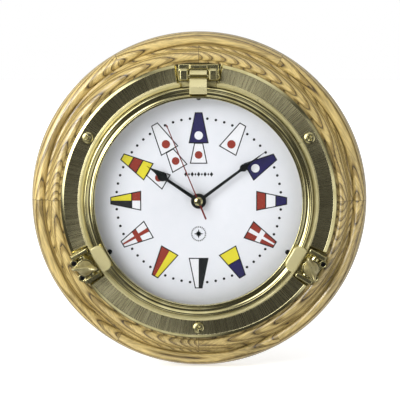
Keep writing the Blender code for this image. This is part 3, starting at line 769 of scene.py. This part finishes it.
@dataclass
class OakBase(Maker):
    """The two turned rings and the hanger."""

    bore: float = 103.5
    columns: int = 480
    hanger_room: float = 3.7
    hanger_margin: float = 0.5
    nail_room: float = 10.0
    nail_corners: tuple = ((-8.0, 0.0, 120.0), (8.0, 0.0, 135.0))

    def back_ring(self) -> None:
        """Turns the wide ring with its outer bead, and lets the hanger into its back."""
        _, seat = depth_of("oak_back_ring")
        rim = radius_of("oak_back_ring")
        corners = [(self.bore, 20.0, 0.3), (139.6, 20.0, 1.2), (141.4, 23.0, 1.5),
                   (144.4, seat + 0.25, 3.2), (149.2, 22.2, 3.6), (rim, 15.6, 5.0), (rim, 5.8, 5.0),
                   (149.4, 0.0, 2.0), (self.bore, 0.0, 0.3)]
        ring = turn_profile("oak_back_ring_turned", soften(corners, 9), self.columns)
        low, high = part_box("hanger_plate")
        margin = Vector((1, 0, 1)) * self.hanger_margin * MM
        self.let_in(ring, low - margin, high + margin, self.hanger_room)
        low, high = (Vector(corner) * MM for corner in self.nail_corners)
        self.let_in(ring, low, high, self.nail_room)
        self.place(ring, "base", "oak", "golden_oak_six_boards", stands_for=["oak_back_ring"])

    def let_in(self, ring: Any, low: Vector, high: Vector, depth: float) -> None:
        """Cuts a square recess into the back of a ring, down to a depth in millimetres."""
        outline = np.array([(low.x, low.z), (high.x, low.z), (high.x, high.z), (low.x, high.z)]) / MM
        cutter = prisms("recess", outline[None], -2.0, depth)
        cut = ring.modifiers.new("Recess", "BOOLEAN")
        cut.object = cutter
        bake_modifiers(ring)
        bpy.data.objects.remove(cutter)
        ring.data.shade_smooth()
        ring.data.set_sharp_from_angle(angle=math.radians(40))

    def front_ring(self) -> None:
        """Turns the narrower ring that carries the brass, with its crown and cove."""
        back, crown = depth_of("oak_front_ring")
        corners = [(self.bore, 30.0, 0.2), (126.2, 30.0, 0.4), (127.0, crown - 0.4, 0.8),
                   (129.4, crown + 0.5, 1.8), (132.8, 31.0, 2.2), (135.4, 27.2, 2.0), (136.8, 22.8, 2.4),
                   (139.5, 21.4, 1.0), (139.6, back, 0.1), (self.bore, back, 0.2)]
        self.turn("oak_front_ring", corners, "base", "oak", "golden_oak_four_boards", 9, self.columns)

    def build(self) -> None:
        """Makes the base."""
        self.back_ring()
        self.front_ring()
        self.dress_node("zinc_plated_steel", "hanger_plate", "hanger_screw_left", "hanger_screw_right")


@dataclass
class Flange(Maker):
    """The brushed flange with its raised collar, cut away at the hinge and at both dogs."""

    outer: float = 124.4
    face: float = 35.2
    floor: float = 32.3
    collar_top: float = 39.2
    # each notch, and the gap in the collar for the hinge: middle and half-width in degrees
    notches: tuple = ((90.0, 9.8), (210.0, 7.9), (330.0, 7.9))
    wall_softness: float = 0.4
    hinge_gap: tuple = (90.0, 8.7)
    gap_softness: float = 0.3
    collar_inner: float = 103.0
    collar_outer: float = 107.7

    def angles(self) -> np.ndarray:
        """Returns the angles of the grid's columns, closer together at the notches' walls."""
        even = np.linspace(0, 360, 480, endpoint=False)
        near = np.linspace(-0.8, 0.8, 17)
        dense = [centre + side * half + near for centre, half in self.notches for side in (-1, 1)]
        return np.unique(np.round(np.concatenate([even, *dense]) % 360, 4))

    def notch_depth(self, angle: np.ndarray) -> np.ndarray:
        """Returns 1 inside a notch and 0 outside, with a short smooth step between."""
        inside = np.zeros_like(angle)
        for centre, half in self.notches:
            apart = np.abs((angle - centre + 180) % 360 - 180)
            step = np.clip(0.5 + (half - apart) / self.wall_softness / 2, 0, 1)
            inside = np.maximum(inside, step * step * (3 - 2 * step))
        return inside

    def build(self) -> None:
        """Makes the flange: a turned profile whose outer face sinks to the floor in each notch."""
        inner = self.collar_inner
        corners = [(103.6, 37.8, 0.3), (104.1, 38.4, 0.5), (106.9, self.collar_top + 0.1, 0.5),
                   (107.5, 38.6, 0.4), (107.6, 35.9, 0.2), (108.3, 35.3, 0.2), (109.0, self.face, 0.3),
                   (115.0, self.face, 0.1), (120.9, self.face, 0.3), (121.3, self.face + 0.2, 0.3),
                   (123.9, self.face - 1.15, 0.5), (self.outer, 33.4, 0.4), (self.outer, 30.9, 0.4),
                   (123.9, 30.3, 0.3), (inner, 30.3, 0.2), (inner, 22.0, 0.3), (88.0, 22.0, 0.3),
                   (88.0, 25.7, 0.3), (99.3, 25.7, 0.1), (99.3, 31.5, 0.1), (103.6, 31.5, 0.1)]
        profile = soften(corners, 6)
        angle = self.angles()
        radius = profile[:, 0][:, None] + 0 * angle
        height = profile[:, 1][:, None] + 0 * angle
        sunk = self.notch_depth(angle)[None] * (radius > self.collar_outer) * (height > self.floor)
        height = height + (self.floor - height) * sunk
        middle, half = self.hinge_gap
        at_hinge = np.clip(0.5 + (half - np.abs(angle - middle)) / self.gap_softness, 0, 1)[None]
        collar = (radius > self.collar_inner) & (radius <= self.collar_outer) & (height > self.face)
        height = height + (self.face - height) * at_hinge * collar
        turn = np.radians(angle)
        points = face_points(radius * np.cos(turn), radius * np.sin(turn), height)
        faces = grid_faces(len(profile), len(angle), True, True)
        flange = make_piece("flange_brushed", points, faces, 35.0)
        self.place(flange, "base", "brass", "radially_brushed_brass", "polished_brass",
                   "satin_lacquered_brass", stands_for=["flange"])
        finish_faces(flange, self.finish_of)
        self.screws()

    def finish_of(self, turned: np.ndarray, flat: np.ndarray) -> np.ndarray:
        """Returns 2 (lacquered) on the collar, 1 (polished) on the rim and notch walls, else 0."""
        radius, (x, up) = turned[0], flat
        inside = self.notch_depth(np.degrees(np.arctan2(up, x)) % 360)
        wall = (inside > 0.03) & (inside < 0.97)
        return np.where(radius < 108.2, 2, np.where((radius > 121.1) | wall, 1, 0))

    def screws(self) -> None:
        """Makes the three cross-head screws."""
        for number, turn in ((1, 0.9), (2, 0.35), (3, 1.2)):
            node = f"flange_screw_{number}"
            back, front = depth_of(node)
            screw = Screw(head=5.0, top=front - 0.4, under=front - 2.9, dome=1.3, shank=1.9, end=back,
                          drive=Drive.CROSS, reach=2.4, width=0.5, depth=1.0, turn=turn)
            self.fasten(node, screw, "brass", "buffed_cast_brass", 72)


@dataclass
class Hinge(Maker):
    """The cast hinge bracket, its pin and the tongue on the bezel."""

    voxel: float = 0.3
    pin_voxel: float = 0.2

    def build(self) -> None:
        """Makes the hinge's visible castings."""
        self.cast("hinge_bracket", self.voxel, 4, "base", "buffed_cast_brass")
        self.cast("hinge_pin", self.pin_voxel, 3, "base", "polished_brass", "hinge_pin_turned")
        self.cast("hinge_tongue", self.voxel, 4, "bezel", "satin_lacquered_brass")


@dataclass
class Bezel(Maker):
    """The polished swinging ring, its glass and packing, and the lug plates for the dogs."""

    outer: float = 102.9
    inner: float = 92.8
    bore: float = 97.8
    seat: float = 42.6
    packing: float = 93.4
    lug_edge: float = 1.2
    lugs: tuple = (("left", 210), ("right", 330))

    def ring(self) -> None:
        """Turns the ring: a bright inner lip, a hollow cove and a rounded outer slope."""
        back, top = depth_of("bezel_ring")
        corners = [(self.inner, 43.4, 0.4), (93.1, top - 0.4, 0.5), (94.7, top - 0.3, 0.5),
                   (95.6, 43.7, 0.8), (97.6, 43.15, 1.2), (99.3, 43.9, 1.0), (100.3, top, 0.6),
                   (101.7, top - 0.15, 0.7),
                   (self.outer, 43.6, 0.9), (self.outer, back, 0.3), (self.bore, back, 0.3),
                   (self.bore, self.seat, 0.1), (self.inner, self.seat, 0.1)]
        self.turn("bezel_ring", corners, "bezel", "brass", "polished_brass", 8, 480)

    def plain_ring(self, node: str, inner: float, slot: str, material: str, body: str = "bezel") -> None:
        """Turns a square-section ring with softened corners in place of a CAD node."""
        back, front = depth_of(node)
        outer = radius_of(node)
        corners = [(inner, front, 0.2), (outer, front, 0.2), (outer, back, 0.2), (inner, back, 0.2)]
        self.turn(node, corners, body, slot, material, 4, 360)

    def build(self) -> None:
        """Makes the bezel and everything that it carries."""
        self.ring()
        self.plain_ring("glass_gasket", self.packing, "rubber", "black_moulded_rubber")
        self.plain_ring("glass_retaining_ring", self.packing, "brass", "polished_brass")
        self.plain_ring("closing_gasket", 99.7, "rubber", "black_moulded_rubber", "base")
        back, front = depth_of("glass")
        edge = radius_of("glass")
        corners = [(0, front, 0), (edge, front, 0.4), (edge, back, 0.4), (0, back, 0)]
        self.turn("glass", corners, "bezel", "glass", "clear_float_glass", 4, 240, closed=False,
                  name="glass_pane")
        for side, degrees in self.lugs:
            self.lug(side, math.radians(degrees))

    def lug(self, side: str, angle: float) -> None:
        """Makes an eight-sided lug plate with a bright bevel, at an angle on the bezel."""
        node = f"dog_lug_{side}"
        front = depth_of(node)[1]
        corners = [(94.6, -8.6), (98.2, -12.0), (104.4, -12.0), (105.8, -10.6), (105.8, 10.6),
                   (104.4, 12.0), (98.2, 12.0), (94.6, 8.6)]
        outline = soften([(a, b, 2.4) for a, b in corners], 8)

        def turned(a: np.ndarray, b: np.ndarray, height: np.ndarray) -> np.ndarray:
            """Returns world points, with the plate turned to its angle."""
            return face_points(a * math.cos(angle) - b * math.sin(angle),
                               a * math.sin(angle) + b * math.cos(angle), height)

        plate = pillowed(node + "_plate", outline, self.seat - 1.5, front, self.lug_edge, turned, 7)
        finish_faces(plate, lambda around, flat: np.where(around[1] > front - 0.03, 0, 1))
        self.place(plate, "bezel", "brass", "satin_lacquered_brass", "polished_brass", stands_for=[node])


@dataclass
class Dogs(Maker):
    """The two clamping dogs: brackets on the flange, swing bolts, washers and wing nuts."""

    pivot: float = 116.2
    boss: float = 6.7
    wing: float = 11.5
    wing_half: float = 2.7
    bore: float = 3.3
    bore_depth: float = 8.6
    dome: float = 3.2
    dome_rise: float = 6.6
    dome_width: float = 5.2
    ridge_half: float = 2.5
    wing_lift: float = 1.8
    underside_rise: float = 6.4
    washer_radius: float = 7.8
    # the side, its angle on the face and how far its wings turn from the radius, in degrees
    sides: tuple = (("left", 210, -30.0), ("right", 330, -43.4))

    def build(self) -> None:
        """Makes both dogs."""
        for side, degrees, turn in self.sides:
            angle = math.radians(degrees)
            centre = (self.pivot * math.cos(angle), self.pivot * math.sin(angle))
            self.cast(f"dog_bracket_{side}", 0.28, 3, "base", "buffed_cast_brass")
            self.cast(f"swing_bolt_{side}", 0.25, 3, f"{side}_dog", "polished_brass")
            self.cast(f"dog_pivot_pin_{side}", 0.2, 2, "base", "polished_brass")
            self.washer(side, centre)
            self.wing_nut(side, centre, angle + math.radians(turn))
            for number in (1, 2):
                self.eyelet(side, number)

    def eyelet(self, side: str, number: int) -> None:
        """Makes a hexagon-socket screw in a dog's boss, and the boss's raised rim round it."""
        node = f"dog_bracket_screw_{side}_{number}"
        back, front = depth_of(node)
        screw = Screw(head=2.1, top=front + 0.1, under=front - 1.7, dome=0.4, shank=1.1, end=back,
                      drive=Drive.HEX, reach=1.1, width=0, depth=1.2)
        self.fasten(node, screw, "dark_steel", "oil_blacked_steel", 48)
        corners = [(2.15, front - 1.5, 0.1), (2.15, front + 0.35, 0.5), (3.6, front + 0.35, 0.6),
                   (3.6, front - 1.5, 0.1)]
        rim = turn_profile(f"dog_eyelet_{side}_{number}", soften(corners), 72, middle_of(node))
        self.place(rim, "base", "brass", "polished_brass")

    def wing_nut(self, side: str, centre: tuple[float, float], turn: float) -> None:
        """Makes a wing nut as one closed surface over (angle, share of the way to the edge).

        From the front its edge is where a disc (the boss) and a slim ellipse (the wings) flow
        into each other: the sixth root of the sum of their sixth powers. The top is a dome
        with a ridge along the wings, and the wings' underside rises away from the boss. Both
        close towards the edge by the root of 1 - share^6.
        """
        back, front = depth_of(f"wing_nut_{side}")
        angle = np.linspace(0, FULL_TURN, 144, endpoint=False)
        wing = 1 / np.hypot(np.cos(angle) / self.wing, np.sin(angle) / self.wing_half)
        edge = (self.boss ** 6 + wing ** 6) ** (1 / 6)
        share = np.sin(np.linspace(0, math.pi / 2, 34))[:, None]
        over, under = share * edge, self.bore + share[::-1] * (edge - self.bore)
        reach = np.abs(np.concatenate([over, under]) * np.cos(angle))
        across = np.concatenate([over, under]) * np.sin(angle)
        rise = np.clip((reach - 3.0) / 6.5, 0, 1) ** 2
        round_top = np.exp(-(np.hypot(reach, across) / self.dome_width) ** 2)
        dome = back + self.dome + self.dome_rise * round_top
        ridge = front - 1.6 + self.wing_lift * rise
        top = dome + (ridge - dome) * np.exp(-(across / self.ridge_half) ** 4)
        bottom = back + self.underside_rise * np.clip((reach - 5.6) / 6.0, 0, 1) ** 1.5
        close = np.sqrt(np.clip(1 - np.concatenate([share, share[::-1]]) ** 6, 0, 1))
        side_of = np.where(np.arange(len(reach)) < len(share), 0.5, -0.5)[:, None]
        height = (top + bottom) / 2 + side_of * (top - bottom) * close
        a, b = np.concatenate([over, under]) * np.cos(angle), across
        deep = back + self.bore_depth
        bore = np.array([[self.bore, back], [self.bore, deep], [0.0, deep]])
        a = np.concatenate([a, bore[:, :1] * np.cos(angle)])
        b = np.concatenate([b, bore[:, :1] * np.sin(angle)])
        height = np.concatenate([height, bore[:, 1:] + 0 * angle])
        points = face_points(centre[0] + a * math.cos(turn) - b * math.sin(turn),
                             centre[1] + a * math.sin(turn) + b * math.cos(turn), height)
        faces = grid_faces(len(height), len(angle), False, True)
        nut = make_piece(f"wing_nut_{side}_cast", points, faces, 50.0)
        self.place(nut, f"{side}_wing_nut", "brass", "handled_cast_brass",
                   stands_for=[f"wing_nut_{side}"])

    def washer(self, side: str, centre: tuple[float, float]) -> None:
        """Turns the washer under a wing nut."""
        node = f"dog_washer_{side}"
        back, front = depth_of(node)
        edge = self.washer_radius
        corners = [(self.bore, front, 0.15), (edge, front, 0.25), (edge, back, 0.25),
                   (self.bore, back, 0.15)]
        self.turn(node, corners, f"{side}_dog_washer", "brass", "polished_brass", 4, 96, centre)


@dataclass
class DialPrint(Maker):
    """What is printed on the dial: minute dots, pennants, diamonds and a compass star.

    A place on a pennant is (s, t): s from -1 to 1 across it, positive on its clockwise side,
    and t from 0 at its inner end to 1 at its narrow outer end.
    """

    surface: float = 27.5
    dot_radius: float = 74.5
    layers: dict[tuple[str, int], list[np.ndarray]] = field(default_factory=dict)
    # the outer and inner pennants: inner and outer radius, half-widths there, the spot's radius
    # from the centre and its size
    tiers: tuple = ((52.4, 79.4, 8.5, 3.0, 59.0, 3.8), (34.0, 52.0, 7.4, 3.65, 41.5, 3.5))
    line: float = 1.0
    dot: float = 1.2
    diamonds_up: float = 24.0
    diamond_step: float = 2.9
    star_up: float = -30.0

    def at(self, hour: float, radius: np.ndarray, aside: np.ndarray) -> np.ndarray:
        """Returns face points at a radius along an hour's line and a distance clockwise of it."""
        angle = math.radians(hour * 30)
        s, c = math.sin(angle), math.cos(angle)
        return np.stack([radius * s + aside * c, radius * c - aside * s], axis=-1)

    def patch(self, hour: float, tier: int, s: tuple[float, float], t: tuple[float, float],
              grow: float = 0.0) -> np.ndarray:
        """Returns the four corners of a part of a pennant, grown by millimetres on every side."""
        inner, outer, wide, narrow = self.tiers[tier][:4]
        along = np.array([t[0], t[0], t[1], t[1]])
        across = np.array([s[0], s[1], s[1], s[0]])
        radius = inner + (outer - inner) * along + grow * np.array([-1, -1, 1, 1])
        half = wide + (narrow - wide) * (radius - inner) / (outer - inner)
        return self.at(hour, radius, across * half + np.sign(across) * grow)

    def ink(self, colour: str, layer: int, outline: np.ndarray) -> None:
        """Adds an outline to a colour's layer."""
        self.layers.setdefault((colour, layer), []).append(outline)

    def pennant(self, hour: float, tier: int, parts: Sequence[tuple], spot: str = "") -> None:
        """Prints one pennant: a black edge, its coloured parts and a round spot."""
        self.ink("black", 0, self.patch(hour, tier, (-1, 1), (0, 1), self.line / 2))
        for colour, s, t, layer in parts:
            self.ink(colour, layer, self.patch(hour, tier, s, t, -self.line / 2 if layer == 1 else 0.0))
        if spot:
            centre = self.at(hour, np.array(self.tiers[tier][4]), np.array(0.0))
            self.ink(spot, 2, disc(tuple(centre), self.tiers[tier][5], 40))

    def pennants(self) -> None:
        """Prints the three inner pennants and the twelve hours.

        Each has an hour, a tier, parts of (colour, across, along, layer) and a spot's colour.
        """
        whole, full, left, right = (0, 1), (-1, 1), (-1, 0), (0, 1)
        near, far, first, last = (0, 0.3), (0.3, 1), (0, 0.34), (0.66, 1)
        white, blue = ((("white", full, whole, 1),), (("blue", full, whole, 1),))
        cross = ((-0.23, 0.23), (0.02, 0.98), 2), ((-0.92, 0.92), (0.36, 0.53), 3)
        flags = (
            (10, 1, white, "red"), (11, 1, white, "red"), (12, 1, white, "red"), (12, 0, blue, "white"),
            (1, 0, white, "red"), (2, 0, blue, "white"),
            (3, 0, (("red", full, near, 1), ("white", full, (0.3, 0.64), 1),
                    ("blue", full, (0.64, 1), 1))),
            (4, 0, (("red", full, whole, 1), *(("white", *bar) for bar in cross))),
            (5, 0, (("yellow", full, (0, 0.44), 1), ("blue", full, (0.44, 1), 1))),
            (6, 0, (("white", right, whole, 1), ("black", left, whole, 1))),
            (7, 0, (("red", right, whole, 1), ("yellow", left, whole, 1))),
            (8, 0, (("white", full, whole, 1), *(("red", *bar) for bar in cross))),
            (9, 0, (("yellow", right, far, 1), ("red", right, near, 1), ("black", left, far, 1),
                    ("white", left, near, 1))),
            (10, 0, (("yellow", full, first, 1), ("red", full, (0.34, 0.66), 1),
                     ("yellow", full, last, 1))),
            (11, 0, white, "red"))
        for flag in flags:
            self.pennant(*flag)

    def marks(self) -> None:
        """Prints the minute dots, the diamonds above the centre and the star below it."""
        for minute in range(60):
            if minute % 5:
                centre = self.at(minute / 5, np.array(self.dot_radius), np.array(0.0))
                self.ink("black", 0, disc(tuple(centre), self.dot, 20))
        for number in range(-4, 5):
            x, up, size = self.diamond_step * number, self.diamonds_up, 2.2 if number % 2 == 0 else 1.4
            self.ink("black", 0, np.array([(x - size * 0.7, up), (x, up - size), (x + size * 0.7, up),
                                           (x, up + size)]))
        for point in range(8):
            self.dart(point * math.pi / 4, 0.0, 1.1, 4.4 if point % 2 == 0 else 2.8, 1.0)
        for tick in range(24):
            self.dart(tick * math.pi / 12, 5.3, 6.3, 7.3, 0.6)

    def dart(self, turn: float, near: float, middle: float, far: float, half: float) -> None:
        """Prints a four-sided dart of the compass star, pointing out at a turn from up."""
        along = np.array([math.sin(turn), math.cos(turn)])
        side = np.array([math.cos(turn), -math.sin(turn)])
        centre = np.array([0.0, self.star_up])
        self.ink("black", 0, np.array([centre + along * near, centre + along * middle + side * half,
                                       centre + along * far, centre + along * middle - side * half]))

    def build(self) -> None:
        """Makes the print, one piece for each colour and layer."""
        self.pennants()
        self.marks()
        for (colour, layer), outlines in self.layers.items():
            for sides in sorted({len(outline) for outline in outlines}):
                same = np.array([outline for outline in outlines if len(outline) == sides])
                base = self.surface + 0.012 + 0.03 * layer
                piece = prisms(f"print_{colour}_{layer}_{sides}", same, base, base + 0.026)
                self.place(piece, "base", "dial_enamel", f"{colour}_printing_ink")


@dataclass
class DialAndHands(Maker):
    """The dial plate, its screws, the three hands and the brass cap."""

    def dial_plate(self) -> None:
        """Turns the white dial plate with its centre hole."""
        back, front = depth_of("dial_plate")
        edge = radius_of("dial_plate")
        corners = [(5.2, front, 0.1), (edge, front, 0.15), (edge, back, 0.15), (5.2, back, 0.1)]
        self.turn("dial_plate", corners, "base", "dial_enamel", "satin_white_dial_enamel", 3, 240,
                  name="dial_plate_enamelled")
        for number in (1, 2, 3):
            node = f"dial_screw_{number}"
            back, front = depth_of(node)
            screw = Screw(head=2.25, top=front, under=front - 1.5, dome=1.0, shank=1.1, end=back,
                          drive=Drive.SLOT, reach=2.2, width=0.3, depth=0.6, turn=0.4 * number)
            self.fasten(node, screw, "dark_steel", "oil_blacked_steel", 48)

    def arc(self, radius: float, up: float, first: float, last: float, count: int,
            reach: float) -> list:
        """Returns corners on an arc, at turns in radians clockwise from up."""
        turns = np.linspace(first, last, count)
        return [(radius * math.sin(q), up + radius * math.cos(q), reach) for q in turns]

    def hub(self, radius: float, stem: float) -> list:
        """Returns the right half of a round hub below a stem of a half-width."""
        start = math.asin(stem / radius)
        return self.arc(radius, 0.0, start, math.pi - (math.pi - start) / 39, 20, 0.0)

    def hand(self, node: str, clock: float, right: list, rounding: float, slot: str,
             material: str) -> None:
        """Makes a hand: the right half of its outline is mirrored, then turned to its time.

        Args:
            node: the CAD node and body it stands for.
            clock: where it points, in degrees clockwise from 12.
            right: (aside, along, softness) corners, tip first.
            rounding: the rounded edge.
            slot: not used.
            material: the finish.
        """
        back, front = depth_of(node)
        left = [(-a, b, reach) for a, b, reach in reversed(right) if a > 0]
        aside, along = soften(right + left, 4).T
        c, s = math.cos(math.radians(clock)), math.sin(math.radians(clock))
        outline = np.stack([aside * c + along * s, along * c - aside * s], axis=1)
        piece = pillowed(node + "_blade", outline[::-1], back, front, rounding)
        self.place(piece, node, slot, material, stands_for=[node])

    def hands(self) -> None:
        """Makes the three hands and the cap."""
        bulb_start, bulb_end = math.radians(32), math.radians(152)
        hour = [(0.0, 56.3, 0.3), (0.55, 51.5, 1.0), (1.1, 47.2, 2.0),
                *self.arc(4.4, 39.5, bulb_start, bulb_end, 9, 0.6), (1.3, 33.5, 1.5),
                (1.6, 6.8, 0.2), *self.hub(6.9, 1.6)]
        self.hand("hour_hand", 304.1, hour, 0.18, "hand_enamel", "black_hand_enamel")
        minute = [(0.0, 75.4, 0.2), (0.55, 68.0, 1.0), (0.95, 56.5, 2.0),
                  *self.arc(3.4, 50.5, bulb_start, bulb_end, 9, 0.5), (1.15, 45.6, 1.5),
                  (1.5, 5.9, 0.2), *self.hub(6.0, 1.5)]
        self.hand("minute_hand", 53.3, minute, 0.18, "hand_enamel", "black_hand_enamel")
        second = [(0.0, 75.5, 0.1), (0.95, 72.6, 0.1), (0.42, 72.2, 0.1), (0.55, 6.0, 1.0),
                  (0.62, 2.7, 0.2), *self.arc(2.6, 0.0, 0.3, 2.84, 8, 0.3), (0.8, -4.0, 0.3),
                  (0.8, -17.6, 0.3)]
        self.hand("second_hand", 337.3, second, 0.12, "red_enamel", "dark_red_hand_enamel")
        back, front = depth_of("seconds_cap")
        corners = [(0, front + 0.25, 0), (1.8, front + 0.1, 1.2), (3.5, front - 0.6, 1.0),
                   (4.0, back + 0.7, 0.4), (4.0, back, 0.2), (0, back, 0)]
        self.turn("seconds_cap", corners, "second_hand", "brass", "polished_brass", 7, 96, closed=False)

    def build(self) -> None:
        """Makes the dial and everything that shows through the glass."""
        self.dial_plate()
        self.hands()


@dataclass
class Movement(Maker):
    """The quartz movement, most of which keeps its CAD shape."""

    def build(self) -> None:
        """Dresses the movement's nodes."""
        dressed = {
            "black_moulded_abs": "movement_front_case movement_back_case",
            "white_moulded_nylon": "hour_wheel minute_arbor intermediate_wheel minute_wheel set_knob",
            "zinc_plated_steel": "stator battery_contact_positive battery_contact_negative",
            "oil_blacked_steel": "rotor",
            "lacquered_copper_wire": "coil",
            "green_solder_mask": "circuit_board",
            "shrunk_battery_sleeve": "battery",
            "polished_brass": "centre_bush mounting_nut seconds_wheel",
        }
        for material, nodes in dressed.items():
            self.dress_node(material, *nodes.split())


# ---------------------------------------------------------------- studio


@dataclass
class Studio:
    """The pale floor, the soft lights and the camera."""

    distance: float = 1.5
    azimuth: float = 1.2
    elevation: float = 5.2
    view_width: float = 0.365
    sensor: float = 36.0
    aim: tuple = (0.0009, -0.012, -0.0007)
    floor_drop: float = 0.0012
    floor_half: float = 14.0
    floor_glow: float = 0.55
    room: float = 0.07
    # each lamp: its name, place, side and power
    lamps: tuple = (("key_light", (-1.1, -1.3, 0.6), 0.4, 5.2),
                    ("fill_light", (1.4, -1.5, 0.5), 1.0, 1.5))
    # each panel: its direction, the cosines at its edge and core, and its strength
    panels: tuple = (((-0.62, -0.70, 0.28), 0.86, 0.95, 3.6), ((0.85, -0.45, -0.30), 0.86, 0.96, 1.0),
                     ((0.15, -0.40, 0.90), 0.80, 0.95, 1.0), ((-0.30, -0.55, -0.78), 0.88, 0.97, 0.8),
                     ((-0.78, -0.55, 0.30), 0.98, 0.99, 4.0), ((0.0, 1.0, 0.25), -0.1, 0.5, 0.5))

    def camera(self) -> None:
        """Puts the camera in front of the dial, a little to the right and above."""
        data = bpy.data.cameras.new("camera")
        camera = bpy.data.objects.new("camera", data)
        bpy.context.scene.collection.objects.link(camera)
        data.sensor_width = self.sensor
        data.lens = self.sensor * self.distance / self.view_width
        turn, lift = math.radians(self.azimuth), math.radians(self.elevation)
        level = math.cos(lift)
        away = Vector((math.sin(turn) * level, -math.cos(turn) * level, math.sin(lift)))
        camera.location = Vector(self.aim) + away * self.distance
        camera.rotation_mode = "QUATERNION"
        camera.rotation_quaternion = (-away).to_track_quat("-Z", "Y")
        data.clip_start, data.clip_end = 0.05, 60.0
        bpy.context.scene.camera = camera

    def floor(self) -> None:
        """Lays a wide pale floor just under the clock."""
        half, height = self.floor_half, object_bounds()[0].z - self.floor_drop
        mesh = bpy.data.meshes.new("floor")
        sides = ((-half, -half), (half, -half), (half, half), (-half, half))
        corners = [(x, y, height) for x, y in sides]
        mesh.from_pydata(corners, [], [(0, 1, 2, 3)])
        floor = bpy.data.objects.new("floor", mesh)
        bpy.context.scene.collection.objects.link(floor)
        material, shader, *_ = start_material("pale_studio_floor")
        link(material, shader, Base_Color=srgb("#F6F6F6"), Roughness=0.9,
             Emission_Color=srgb("#FFFFFF"), Emission_Strength=self.floor_glow)
        mesh.materials.append(material)
        floor.visible_glossy = False
        floor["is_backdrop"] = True

    def surroundings(self) -> None:
        """Sets a white background, and a dim room with soft bright panels for the brass.

        Each panel is a smooth step of the cosine between its aim and the direction.
        """
        world = bpy.data.worlds.new("studio")
        bpy.context.scene.world = world
        world.use_nodes = True
        add = partial(add_node, world.node_tree)
        world.node_tree.nodes.clear()
        direction = add("TexCoord")
        total = self.room
        for aim, edge, core, power in self.panels:
            unit = tuple(Vector(aim).normalized())
            near = add("VectorMath", (direction, unit), output=1, operation="DOT_PRODUCT")
            panel = add("MapRange", (near, edge, core, 0.0, power), interpolation_type="SMOOTHSTEP")
            total = add("Math", (panel, total), operation="ADD")
        room = add("Background", (add("CombineColor", (total, total, total)),))
        paper = add("Background", (srgb("#FFFFFF"),))
        seen = add("LightPath")
        add("OutputWorld", (add("MixShader", (seen, room, paper)),))

    def lamp(self, name: str, place: Sequence[float], size: float, power: float) -> None:
        """Adds a square soft light that looks at the clock."""
        data = bpy.data.lights.new(name, "AREA")
        data.size = size
        data.energy = power
        lamp = bpy.data.objects.new(name, data)
        bpy.context.scene.collection.objects.link(lamp)
        lamp.location = place
        lamp.rotation_mode = "QUATERNION"
        lamp.rotation_quaternion = (-Vector(place)).to_track_quat("-Z", "Y")

    def build(self) -> None:
        """Makes the studio."""
        self.camera()
        self.floor()
        self.surroundings()
        for lamp in self.lamps:
            self.lamp(*lamp)
        bpy.context.scene.view_settings.view_transform = "Standard"


def main() -> None:
    """Builds the studio and every sub-assembly in order."""
    logging.basicConfig(level=logging.INFO, format="%(message)s")
    Studio().build()
    finishes = Finishes().build()
    for sub_assembly in (OakBase, Flange, Hinge, Bezel, Dogs, DialPrint, DialAndHands, Movement):
        sub_assembly(finishes).build()
        LOG.info("%s is made", sub_assembly.__name__)


if __name__ == "__main__":
    main()
